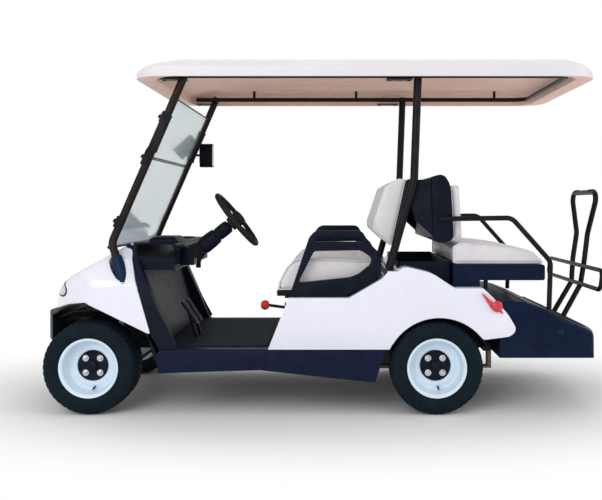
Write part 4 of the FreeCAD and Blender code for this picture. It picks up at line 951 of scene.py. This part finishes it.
def cutPatch(source, name, planes, out):
    # The part of a piece's skin inside some planes, lifted outwards: each plane (place, way out).
    piece = copied(source, name)
    piece.data.materials.clear()
    for place, way in planes:
        selectWhere(piece, "FACE", lambda face: True)
        bpy.ops.mesh.bisect(plane_co=place, plane_no=way, clear_outer=True)
        leaveEdit()
    selectWhere(piece, "FACE", lambda face: out["keep"](face) is False)
    bpy.ops.mesh.delete(type="FACE")
    leaveEdit()
    selectWhere(piece, "FACE", lambda face: True)
    bpy.ops.transform.shrink_fatten(value=out["lift"])
    leaveEdit()
    useModifier(piece, "SOLIDIFY", thickness=out["thick"], offset=-1)
    return roundEdges(piece, out["edge"], 2, 40)


# Front wheel liners: they clear the steered tyre and close the arch behind it.
liner = {"reach": 0.335, "rise": 0.275, "inner": 0.283, "outer": 0.556, "wall": 0.004}


def linerArc(start, end, grow):
    return list(arc(frontAxleX, axleZ, liner["reach"] + grow, liner["rise"] + grow, start, end,
                    26))


inside = linerArc(52, 178, 0)
band = plate("LinerBand", inside + linerArc(178, 52, liner["wall"]), liner["inner"],
             liner["outer"])
flange = plate("LinerFlange", inside + placed([
    (0.322, 0.262), (0.285, 0.395), (0.19, 0.458), (0.104, 0.505), (0.04, 0.545),
    (-0.018, 0.562), (-0.13, 0.545), (-0.215, 0.512)]), 0.5525, liner["outer"])
wall = plate("LinerWall", linerArc(52, 142, liner["wall"]), liner["inner"] - 0.004,
             liner["inner"])
noseRound = {"reach": 0.3, "half": 0.562, "rear": 0.36}
noseRadius = (noseRound["half"] ** 2 + noseRound["reach"] ** 2) / (2 * noseRound["reach"])
noseMiddle = frontAxleX + noseRound["reach"] - noseRadius
noseTurn = math.asin(noseRound["half"] / noseRadius)
plan = [(noseMiddle + math.cos(noseTurn * (i / 12 - 1)) * noseRadius,
         math.sin(noseTurn * (i / 12 - 1)) * noseRadius) for i in range(25)]
plan = plan + [(frontAxleX - noseRound["rear"], noseRound["half"]),
               (frontAxleX - noseRound["rear"], -noseRound["half"])]
keepInside = plate("NosePlan", plan, 0.1, 0.7, "Z")
for part in (band, flange, wall):
    trimmed(part, copied(keepInside, "NoseTool"), "INTERSECT")
bpy.data.objects.remove(keepInside)
arch = together("FrontLiner", [band, flange, wall])
dress(withTwin(smooth(arch), "FrontLiners"), "wellLining")

# Shock absorbers with their springs stand on the front axle beam.
shocks = []
for side in (1, -1):
    foot = Vector((frontAxleX, side * 0.255, 0.262))
    head = Vector((frontAxleX - 0.01, side * 0.238, 0.47))
    lower = foot.lerp(head, 0.55)
    shocks += [barBetween("ShockBody", foot, lower, 0.016, 20),
               barBetween("ShockRod", lower, head, 0.006, 14),
               barBetween("ShockSeat", foot.lerp(head, 0.12), foot.lerp(head, 0.15), 0.027, 24),
               barBetween("ShockCap", head, head + Vector((0, 0, 0.006)), 0.028, 24)]
    coil = []
    way = (head - foot).normalized()
    across = way.cross(Vector((0, 1, 0))).normalized()
    other = way.cross(across)
    for i in range(73):
        turn = math.tau * i / 12
        share = 0.15 + 0.84 * i / 72
        coil.append(foot.lerp(head, share) +
                    (across * math.cos(turn) + other * math.sin(turn)) * 0.0225)
    shocks.append(bentTube("ShockSpring", coil, 0.0042, 2, sides=2))
    for name, near, far, low in (("ShockTower", 0.2, 0.262, 0.4755),
                                 ("TowerLeg", 0.196, 0.202, 0.3)):
        y0, y1 = sorted((side * near, side * far))
        shocks.append(block(name, (frontAxleX - 0.03, y0, low), (frontAxleX + 0.03, y1, 0.4815)))
dress(together("FrontShocks", shocks), "frameSteel")

# Headlamps follow the nose: a black bezel with a clear lens in it, tipped towards the wing.
headlamp = {"wide": 0.088, "tall": 0.047, "y": 0.35, "z": 0.606, "tip": 0.16, "sides": 20}


def outward(face):
    return face.normal.x > 0.05 or face.normal.z > 0.15


def lampPlanes(side, wide, tall):
    planes = [((alongX(-0.02), 0, 0), (-1, 0, 0))]
    for i in range(headlamp["sides"]):
        turn = math.tau * i / headlamp["sides"]
        across = math.cos(turn) * wide
        up = math.sin(turn) * tall - across * headlamp["tip"]
        planes.append(((0, side * (headlamp["y"] + across), headlamp["z"] + up),
                       (0, side * math.cos(turn) * tall, math.sin(turn) * wide)))
    return planes


for side, sideName in ((1, "Left"), (-1, "Right")):
    for part, grow, lift, finishName in (("Bezel", 0.0, 0.0012, "blackPlastic"),
                                         ("Lens", 0.009, 0.0034, "clearLens")):
        planes = lampPlanes(side, headlamp["wide"] - grow, headlamp["tall"] - grow)
        patch = cutPatch(bonnet, f"Headlamp{part}{sideName}", planes, {
            "keep": outward, "lift": lift, "thick": 0.003, "edge": 0.0012})
        dress(patch, finishName)

# A black rubber strip where the windscreen meets the cowl.
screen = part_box("windshield_lower")
screenX, screenZ = screen[1][0], screen[0][2]
strip = bentTube("ScreenSeal", [(screenX + 0.004, y, screenZ + 0.004) for y in (
    -0.486, -0.3, -0.1, 0.1, 0.3, 0.486)], 0.009, 4, sides=3)
dress(strip, "gripFoam")
print("front details done")


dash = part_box("dash_console")
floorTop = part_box("floor_tray")[1][2]
dashTop = dash[1][2]
hoodRear = alongX(0.407)

# A rounded edge band runs up each side of the leg shield and over the dash.
for side, sideName in ((1, "Left"), (-1, "Right")):
    y = side * 0.557
    band = bentTube("DashBand", placed([
        (0.42, y, floorTop + 0.014), (0.345, y, 0.47), (0.285, y, 0.61), (0.238, y, 0.74),
        (0.226, y, 0.8), (0.214, side * 0.548, 0.822), (0.185, side * 0.53, 0.826)]),
        0.011, 8, sides=4)
    dress(band, "sillPlastic")

# The hood over the dash: a rolled lip, a raised binnacle with a gauge and two cup holders.
lip = bentTube("DashLip", [(hoodRear + 0.002, y, dashTop - 0.012) for y in (
    -0.488, -0.3, 0.0, 0.3, 0.488)], 0.012, 6, sides=4)
lowerLip = bentTube("DashLowerLip", [(hoodRear + 0.006, y, 0.707) for y in (
    -0.488, -0.2, 0.2, 0.488)], 0.008, 6, sides=4)
dress(together("DashLips", [lip, lowerLip]), "blackPlastic")

binnacle = block("Binnacle", (alongX(0.405), 0.17, dashTop + 0.0004),
                 (alongX(0.25), 0.39, dashTop + 0.03))
selectWhere(binnacle, "FACE", lambda face: face.normal.z > 0.9)
bpy.ops.transform.resize(value=(0.72, 0.86, 1))
leaveEdit()
selectWhere(binnacle, "EDGE", lambda edge: all(
    binnacle.data.vertices[i].co.z > dashTop + 0.02 for i in edge.vertices))
bpy.ops.mesh.bevel(offset=0.012, segments=5, affect="EDGES")
leaveEdit()
dress(roundEdges(binnacle, 0.003, 3), "blackPlastic")
gauge = turnedPiece("Gauge", [(0.0001, 0.0025), (0.02, 0.0025), (0.022, 0.005),
                              (0.026, 0.005), (0.028, 0.0), (0.0001, -0.001)],
                    (hoodRear - 0.001, 0.115, 0.772), "X", 40, -1)
dress(gauge, "clearLens")

for i, y in enumerate((-0.14, -0.25)):
    cup = turnedPiece(f"CupRing{i}", [(0.036, 0.004), (0.0385, 0.0065), (0.044, 0.005),
                                      (0.046, 0.0), (0.04, -0.001), (0.036, 0.0)],
                      (alongX(0.33), y, dashTop + 0.0002), "Z", 48)
    well = turnedPiece(f"CupWell{i}", [(0.0001, 0.0016), (0.035, 0.0016), (0.0362, 0.0024),
                                       (0.0362, 0.0), (0.0001, 0.0)],
                       (alongX(0.33), y, dashTop + 0.0002), "Z", 48)
    dress(together(f"CupHolder{i}", [cup, well]), "gripFoam")

# The glove pockets: shallow framed recesses on the hood's face.
for i, (y0, y1) in enumerate(((-0.455, -0.07), (0.4, 0.47))):
    frameLow, frameHigh = 0.722, 0.806
    outer = block(f"Pocket{i}", (hoodRear - 0.004, y0, frameLow),
                  (hoodRear + 0.0002, y1, frameHigh))
    selectWhere(outer, "FACE", lambda face: face.normal.x < -0.9)
    bpy.ops.mesh.inset(thickness=0.01)
    bpy.ops.mesh.extrude_region_move(TRANSFORM_OT_translate={"value": (0.0035, 0, 0)})
    leaveEdit()
    dress(roundEdges(outer, 0.0018, 3), "blackPlastic")

# Key switch with its key, ring and fob.
keyY, keyZ = -0.03, 0.752
lock = turnedPiece("KeyLock", [(0.0001, 0.008), (0.009, 0.008), (0.012, 0.005),
                               (0.017, 0.003), (0.018, 0.0), (0.0001, 0.0)],
                   (hoodRear - 0.0003, keyY, keyZ), "X", 32, -1)
keyHead = turnedPiece("KeyHead", [(0.004, -0.0012), (0.0125, -0.0012), (0.0125, 0.0012),
                                  (0.004, 0.0012)], (hoodRear - 0.026, keyY, keyZ), "Y", 28)
keyBlade = block("KeyBlade", (hoodRear - 0.016, keyY - 0.001, keyZ - 0.004),
                 (hoodRear - 0.006, keyY + 0.001, keyZ + 0.004))
keyRing = turnedPiece("KeyRing", [(0.0105, -0.0008), (0.0121, -0.0008), (0.0121, 0.0008),
                                  (0.0105, 0.0008)],
                      (hoodRear - 0.026, keyY, keyZ - 0.018), "Y", 32)
dress(together("Keys", [lock, keyHead, keyBlade, keyRing]), "brightSteel", slot="black_steel")
fob = block("KeyFob", (hoodRear - 0.04, keyY - 0.005, keyZ - 0.078),
            (hoodRear - 0.012, keyY + 0.005, keyZ - 0.03))
dress(roundEdges(fob, 0.0045, 4), "gripFoam")

# Ribbed rubber mat on the floor.
mat = {"half": 0.486, "pitch": 0.018, "low": 0.0024, "high": 0.0062,
       "front": alongX(0.352), "rear": alongX(0.862)}
ribs = int(mat["half"] * 2 / mat["pitch"])
crest = [(-mat["half"], floorTop + 0.0003)]
for i in range(ribs):
    y = -mat["half"] + 0.004 + i * mat["pitch"]
    crest = crest + [(y, floorTop + mat["low"]), (y + 0.0028, floorTop + mat["high"]),
                     (y + 0.0095, floorTop + mat["high"]), (y + 0.0125, floorTop + mat["low"])]
crest = crest + [(mat["half"], floorTop + mat["low"]), (mat["half"], floorTop + 0.0003)]
floorMat = plate("FloorMat", crest[::-1], mat["rear"], mat["front"], "X")
dress(smooth(floorMat, 20), "matRubber")

# Steering: shroud, bellows, the wheel's centre pad and a stalk.
turn = next(joint for joint in frame["joints"] if joint["child"] == "steering_wheel")
wheelPlace, wheelAxis = Vector(turn["pos_m"]), Vector(turn["axis"]).normalized()


def onColumn(name, profile, steps=40):
    # Turned about the steering axis: (radius, distance up the column from the wheel).
    piece = turnedPiece(name, profile, (0, 0, 0), "Z", steps)
    piece.data.transform(Matrix.Translation(wheelPlace) @
                         wheelAxis.to_track_quat("Z", "Y").to_matrix().to_4x4())
    return piece


shroud = onColumn("ColumnShroud", [
    (0.03, -0.052), (0.034, -0.058), (0.036, -0.08), (0.035, -0.118), (0.0325, -0.124),
    (0.0325, -0.13), (0.04, -0.136), (0.043, -0.165), (0.044, -0.215), (0.041, -0.228),
    (0.0262, -0.232), (0.0262, -0.052)], 48)
dress(shroud, "blackPlastic")
folds = [(0.0262, -0.2325)]
for i in range(5):
    along = -0.2335 - i * 0.0105
    folds = folds + [(0.037 + i * 0.003, along), (0.0425 + i * 0.003, along - 0.005),
                     (0.037 + i * 0.003, along - 0.01)]
folds = folds + [(0.0262, -0.2865)]
dress(onColumn("ColumnBellows", folds, 48), "gripFoam")
pad = onColumn("WheelPad", [
    (0.0001, 0.034), (0.02, 0.0335), (0.034, 0.03), (0.041, 0.023), (0.0425, 0.012),
    (0.04, 0.006), (0.0385, -0.012), (0.0365, -0.018), (0.0365, 0.004), (0.0001, 0.018)], 56)
dress(pad, "gripFoam", body="steering_wheel")
stalk = bentTube("Stalk", [wheelPlace + wheelAxis * -0.1 + Vector((0.0, 0.034, 0.0)),
                           wheelPlace + wheelAxis * -0.098 + Vector((-0.006, 0.075, 0.004)),
                           wheelPlace + wheelAxis * -0.09 + Vector((-0.012, 0.125, 0.01))],
                 0.0048, 6, sides=3)
dress(stalk, "gripFoam")

# Pedal treads: rubber plates with raised ribs on the sloping pads.
padLow, padHigh = Vector((alongX(0.476), 0, 0.402)), Vector((alongX(0.398), 0, 0.52))
slope = (padHigh - padLow).normalized()
outWay = Vector((-slope.z, 0, slope.x))
treads = []
for middle, width in ((0.215, 0.075), (0.105, 0.06)):
    for i in range(9):
        centre = padLow + slope * (0.014 + i * 0.0142) + outWay * 0.0016
        rib = barBetween("PedalRib", centre + Vector((0, middle - width / 2 + 0.006, 0)),
                         centre + Vector((0, middle + width / 2 - 0.006, 0)), 0.0042, 10)
        treads.append(rib)
dress(together("PedalTreads", treads), "gripFoam")

# Direction lever: a black bezel and a red knob on the front of the seat box.
leverX, leverZ = alongX(0.862), 0.494
bezel = turnedPiece("LeverBezel", [(0.0001, 0.006), (0.01, 0.006), (0.026, 0.004),
                                   (0.03, 0.0), (0.0001, 0.0)],
                    (leverX - 0.076, 0.2, leverZ - 0.012), "X", 40)
stem = barBetween("LeverStem", (leverX - 0.08, 0.2, leverZ - 0.014),
                  (leverX + 0.022, 0.2, leverZ), 0.008, 20)
dress(together("LeverBase", [bezel, stem]), "gripFoam")
knob = turnedPiece("LeverKnob", [(0.0001, 0.036), (0.012, 0.035), (0.022, 0.028),
                                 (0.026, 0.016), (0.0245, 0.004), (0.017, -0.006),
                                 (0.0001, -0.008)], (leverX + 0.02, 0.2, leverZ), "X", 48)
dress(knob, "redKnob")
print("cabin done")


# Faces under the roof take the liner finish, whose peach colour is painted warm bounce light.
roofPiece = bpy.data.objects["Soft_roof"]
roofPiece.data.materials.append(finish["roofLiner"])


def underRoof(face):
    middle, way = face.center, face.normal
    if way.z < -0.2:
        return True
    inward = way.x * middle.x + way.y * middle.y < 0
    return inward and abs(way.z) < 0.6 and middle.z < 1.735


for face in roofPiece.data.polygons:
    face.material_index = int(underRoof(face))

# Ribs under the roof, in the liner finish with its painted warm bounce light.
ribs = []
for y, z in ((0.07, 1.748), (0.15, 1.748), (0.23, 1.748), (0.31, 1.748), (0.475, 1.724)):
    rib = bentTube("Rib", [(alongX(x), y, z - 0.001) for x in (0.86, 1.2, 1.7, 2.09)], 0.006,
                   6, sides=3)
    ribs.append(rib)
dress(withTwin(together("RoofRibs", ribs), "RoofRibs"), "roofLiner")

# A drip channel round the roof's lower edge.
edgeZ = 1.6535
half, corner = 0.596, 0.15
front, rear = alongX(0.214), alongX(2.4835)
track = []
for cx, cy, start in ((front - corner, half - corner, 90), (rear + corner, half - corner, 180),
                      (rear + corner, corner - half, 270), (front - corner, corner - half, 0)):
    corners = []
    for i in range(7):
        turn = math.radians(start - 90 + 15 * i)
        corners.append((cx + math.cos(turn) * corner, cy + math.sin(turn) * corner, edgeZ))
    track = track + corners
gutter = bentTube("RoofGutter", track, 0.0035, 3, closed=True, order=2, sides=2)
dress(gutter, "roofWhite")

# Struts meet the roof in black brackets with screws.
roofFeet = []
for side in (1, -1):
    y0, y1 = sorted((side * 0.466, side * 0.534))
    for x0, x1 in ((0.34, 0.47), (1.455, 1.585)):
        bracket = block("RoofFoot", (alongX(x1), y0, 1.6435), (alongX(x0), y1, 1.6495))
        roofFeet.append(roundEdges(bracket, 0.002, 2))
        for x in (x0 + 0.018, x1 - 0.018):
            roofFeet.append(bolt("RoofBolt", (alongX(x), side * 0.5, 1.6434), (0, 0, -1), 0.007))
dress(together("RoofFeet", roofFeet), "blackSteel")

# Rubber edging round the panes, and the fold joint with its clips on the struts.
lowBox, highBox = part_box("windshield_lower"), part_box("windshield_upper")


def paneLine(z):
    # Where the panes' middle plane is at a height.
    share = (z - lowBox[0][2]) / (highBox[1][2] - lowBox[0][2])
    return lowBox[1][0] - 0.003 + (highBox[0][0] + 0.003 - lowBox[1][0] + 0.003) * share


def edging(name, low, high, half, radius):
    a, b = (paneLine(low), low), (paneLine(high), high)
    path = [(a[0], -half, a[1]), (a[0], half, a[1]), (b[0], half, b[1]), (b[0], -half, b[1])]
    return bentTube(name, path, radius, 1, closed=True, order=2, sides=3)


edgings = [edging("LowerEdging", lowBox[0][2] + 0.004, lowBox[1][2] - 0.004, 0.476, 0.0052),
           edging("UpperEdging", highBox[0][2] + 0.004, highBox[1][2] - 0.004, 0.476, 0.0052)]
dress(together("ScreenEdging", edgings), "gripFoam")

clips = []
for side in (1, -1):
    for z, tall in ((lowBox[1][2], 0.085), (highBox[1][2] - 0.1, 0.06),
                    (lowBox[0][2] + 0.13, 0.06)):
        x = paneLine(z)
        tilt = math.atan2(paneLine(z + 0.1) - paneLine(z), 0.1)
        y0, y1 = sorted((side * 0.462, side * 0.526))
        clip = block("Clip", (-0.018, y0, -tall / 2), (0.014, y1, tall / 2))
        roundEdges(clip, 0.006, 3)
        clip.data.transform(Matrix.Translation((x + 0.012, 0, z)) @
                            Matrix.Rotation(tilt, 4, "Y"))
        clips.append(clip)
        knobFoot = Vector((x + 0.024, side * 0.485, z))
        clips.append(barBetween("ClipKnob", knobFoot, knobFoot + Vector((0.016, 0, 0.01)),
                                0.012, 24, 0.01))
dress(together("ScreenClips", clips), "gripFoam")

# Pads sleeve the struts above the screen's joint.
sleeves = []
for side in (1, -1):
    low, high = 1.3, 1.47
    a = Vector((paneLine(low), side * 0.5, low))
    b = Vector((paneLine(high), side * 0.5, high))
    sleeves.append(barBetween("Sleeve", a, b, 0.0245, 32))
    for share in (0.0, 1.0):
        ring = a.lerp(b, share)
        sleeves.append(barBetween("SleeveEnd", ring - (b - a) * 0.03, ring + (b - a) * 0.03,
                                  0.0265, 32))
dress(together("StrutSleeves", sleeves), "gripFoam")

# The mirror's glass looks back.
mirror0, mirror1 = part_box("side_mirror")
glass = block("MirrorGlass", (mirror0[0] - 0.0012, mirror0[1] + 0.008, mirror0[2] + 0.01),
              (mirror0[0] + 0.0008, mirror0[1] + 0.056, mirror1[2] - 0.01))
dress(roundEdges(glass, 0.0008, 2), "brightSteel")
hood = block("MirrorHood", (mirror0[0] + 0.02, mirror0[1] - 0.002, mirror0[2] + 0.03),
             (mirror1[0] - 0.012, mirror0[1] + 0.004, mirror1[2] - 0.03))
dress(roundEdges(hood, 0.003, 3), "gripFoam")
print("roof and screens done")


# Seat box: a black strip under the front cushion, and screws in the armrests' feet.
seatBase1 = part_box("front_seat_base")[1]
edge = bentTube("SeatEdge", [(seatBase1[0] - 0.003, y, seatBase1[2] - 0.008) for y in (
    -0.462, -0.2, 0.2, 0.462)], 0.006, 4, sides=3)
dress(edge, "gripFoam", body="front_seat")
screws = []
for side in (1, -1):
    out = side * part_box("front_armrests")[1][1]
    for x, z in ((0.998, 0.606), (1.13, 0.604), (1.262, 0.606), (1.402, 0.69)):
        screws.append(bolt("ArmScrew", (alongX(x), out + side * 0.0002, z), (0, side, 0),
                           0.0075))
dress(together("ArmScrews", screws), "blackSteel")

# Rear arches: a rolled lip round each and a dark wall inside it.
rearArch = {"x": rearAxleX - 0.012, "z": 0.21, "lip": 0.2705, "wall": 0.2655, "inner": 0.345}


def archArc(start, end, radius):
    return arc(rearArch["x"], rearArch["z"], -radius, radius, start, end, 16)


lips, walls = [], []
for side in (1, -1):
    y = side * (bodySide - 0.001)
    lips.append(bentTube("ArchLip", [(x, y, z) for x, z in archArc(
        38, 149, rearArch["lip"])], 0.0048, 3, sides=3))
    inner = side * rearArch["inner"]
    walls.append(plate("ArchWall", list(archArc(28, 150, rearArch["wall"])),
                       *sorted((inner, inner - side * 0.004))))
dress(together("ArchLips", lips), "bodyWhite")
dress(together("ArchWalls", walls), "wellLining")

for side, sideName in ((1, "Left"), (-1, "Right")):
    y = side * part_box("tail_lights")[1][1]
    centre = (alongX(1.99), y, 0.533)
    rim = turnedPiece("LampRing" + sideName, [
        (0.02, 0.004), (0.0235, 0.0055), (0.027, 0.003), (0.028, -0.001), (0.02, -0.001)],
        centre, "Y", 40, side)
    dome = turnedPiece("LampDome" + sideName, [
        (0.0001, 0.0075), (0.01, 0.0068), (0.0195, 0.003), (0.0195, -0.001),
        (0.0001, -0.001)], centre, "Y", 40, side)
    dress(rim, "redLens")
    dress(dome, "redLens")
    # A clear lens strip along the lamp's upper edge, pale so that it also paints the highlight
    # band on the lens.
    strip = plate("LampClearWithPaintedHighlight" + sideName, placed([
        (1.917, 0.599), (1.945, 0.592), (1.998, 0.541), (1.975, 0.549)]),
        y - side * 0.001, y + side * 0.0022)
    dress(roundEdges(strip, 0.0008, 2), "clearLens", slot="lamp_red")

# Rear deck: raised tread ribs and side reflectors.
steps = []
for i in range(7):
    x = alongX(2.35 + i * 0.0165)
    z = 0.467 - (2.35 + i * 0.0165 - 2.335) / (2.457 - 2.335) * (0.467 - 0.412) + 0.0022
    steps.append(barBetween("DeckRib", (x, -0.455, z), (x, 0.455, z), 0.0042, 10))
dress(together("DeckTread", steps), "matRubber")
for side, sideName in ((1, "Left"), (-1, "Right")):
    spot = turnedPiece("Reflector" + sideName, [
        (0.0001, 0.0035), (0.0115, 0.003), (0.0135, 0.0015), (0.015, 0.001),
        (0.0155, -0.001), (0.0001, -0.001)], (alongX(2.311), side * 0.5402, 0.403), "Y", 36,
        side)
    dress(spot, "podPlastic", slot="lamp_red")

# Bolts through the rear backrest's shell.
caps = []
for side in (1, -1):
    for x, z in ((1.655, 1.12), (1.64, 0.985), (1.715, 0.9)):
        caps.append(bolt("ShellBolt", (alongX(x), side * 0.4805, z), (0, side, 0), 0.008))
dress(together("ShellBolts", caps), "blackSteel")

# The bag rack: rubber pads round its top tube.
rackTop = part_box("rack_frame")[1][2]
pads = []
rackNode = nodeCopy("rack_frame", "RackProbe")
topZ = rackTop - 0.012
spread = [vertex.co for vertex in rackNode.data.vertices if vertex.co.z > topZ]
topX = sum(place.x for place in spread) / len(spread)
bpy.data.objects.remove(rackNode)
for side in (1, -1):
    pads.append(barBetween("RackPad", (topX, side * 0.1, rackTop - 0.011),
                           (topX, side * 0.165, rackTop - 0.011), 0.0138, 28))
dress(together("RackPads", pads), "gripFoam", slot="black_steel")

# Leaf springs: U-bolts with nuts and plates at the rear axle, and dampers beside them.
hardware = []
for side in (1, -1):
    y = side * 0.29
    for dx in (-0.036, 0.036):
        for dy in (-0.032, 0.032):
            foot = Vector((rearAxleX + dx, y + dy, axleZ - 0.075))
            hardware.append(barBetween("UBolt", foot, foot + Vector((0, 0, 0.085)), 0.005, 14))
            hardware.append(barBetween("UNut", foot - Vector((0, 0, 0.004)),
                                       foot + Vector((0, 0, 0.006)), 0.0095, 6))
    hardware.append(block("UPlate", (rearAxleX - 0.048, y - 0.042, axleZ - 0.072),
                          (rearAxleX + 0.048, y + 0.042, axleZ - 0.066)))
dress(together("SpringClamps", hardware), "springSteel")

dampers = []
for side in (1, -1):
    foot = Vector((rearAxleX + 0.055, side * 0.235, axleZ - 0.01))
    head = Vector((rearAxleX + 0.12, side * 0.232, 0.395))
    middle = foot.lerp(head, 0.5)
    pin = Vector((0, 0.012, 0))
    dampers += [barBetween("DamperBody", middle, head, 0.021, 24),
                barBetween("DamperRod", foot, middle, 0.007, 14),
                barBetween("DamperEye", foot - pin, foot + pin, 0.014, 20),
                barBetween("DamperTop", head - pin, head + pin, 0.014, 20)]
dress(together("RearDampers", dampers), "frameSteel")
print("rear and running gear done")


def paleFloor(name, shade):
    # Plain pale near the cart, so that its shadow shows, and even white further away.
    material = startFinish(name, shade, 0.9, Specular_IOR_Level=0.05)
    tree = material.node_tree
    away = addNode(tree, "VectorMath", {"operation": "LENGTH"},
                   Vector=objectPlace(material, (0.55, 1, 1))).outputs["Value"]
    far = addNode(tree, "MapRange", {"interpolation_type": "SMOOTHSTEP"},
                  From_Min=stage["near"], From_Max=stage["far"], Value=away)
    rays = addNode(tree, "LightPath").outputs
    seen = times(tree, rays["Is Camera Ray"], rays["Is Glossy Ray"], "MAXIMUM")
    seen = times(tree, seen, rays["Is Transmission Ray"], "MAXIMUM")
    mix = addNode(tree, "MixShader", Fac=times(tree, far.outputs["Result"], seen))
    feed(tree, mix.inputs[1], shaderOf(material).outputs["BSDF"])
    feed(tree, mix.inputs[2], addNode(tree, "Emission").outputs["Emission"])
    feed(tree, tree.nodes["Material Output"].inputs["Surface"], mix.outputs["Shader"])
    return material


stage = {"size": 60, "white": (0.93, 0.93, 0.935), "near": 0.8, "far": 1.6, "glow": 0.68}
pick()
bpy.ops.mesh.primitive_plane_add(size=stage["size"])
floor = bpy.context.object
floor.name = "Floor"
settle(floor)
floor.data.materials.append(paleFloor("FloorWhite", stage["white"]))


def softLamp(name, place, aim, size, power, tall=None):
    pick()
    bpy.ops.object.light_add(type="AREA", location=place)
    lamp = bpy.context.object
    lamp.name = name
    lamp.data.shape = "RECTANGLE"
    lamp.data.size = size
    lamp.data.size_y = tall or size
    lamp.data.energy = power
    way = Vector(aim) - Vector(place)
    lamp.rotation_euler = way.to_track_quat("-Z", "Y").to_euler()
    return lamp


softLamp("TopLight", (-0.3, -1.6, 4.6), (0, 0.2, 0.4), 4.5, 40, 3.5)
softLamp("SideLight", (2.2, 5.5, 3.0), (0, 0, 0.7), 3.5, 106)
softLamp("RearLight", (-4.6, 2.0, 2.4), (0, 0, 0.8), 2.5, 40)

world = bpy.data.worlds.new("Studio")
bpy.context.scene.world = world
world.use_nodes = True
sky = world.node_tree
rays = addNode(sky, "LightPath").outputs
either = times(sky, rays["Is Camera Ray"], rays["Is Transmission Ray"], "MAXIMUM")
lit = addNode(sky, "MapRange", To_Min=stage["glow"], To_Max=1.0, Value=either)
background = sky.nodes["Background"]
feed(sky, background.inputs["Strength"], lit.outputs["Result"])
background.inputs["Color"].default_value = (1, 1, 1, 1)

view = {"place": (-0.099, 4.5, 1.026), "lens": 48.3,
        "shiftX": -0.06478405, "shiftY": -0.07475083}
pick()
bpy.ops.object.camera_add(location=view["place"], rotation=(math.pi / 2, 0, math.pi))
camera = bpy.context.object
camera.name = "Camera"
camera.data.lens = view["lens"]
camera.data.sensor_width = 36
camera.data.shift_x = view["shiftX"]
camera.data.shift_y = view["shiftY"]
bpy.context.scene.camera = camera
bpy.context.scene.view_settings.view_transform = "Standard"
print("stage ready")
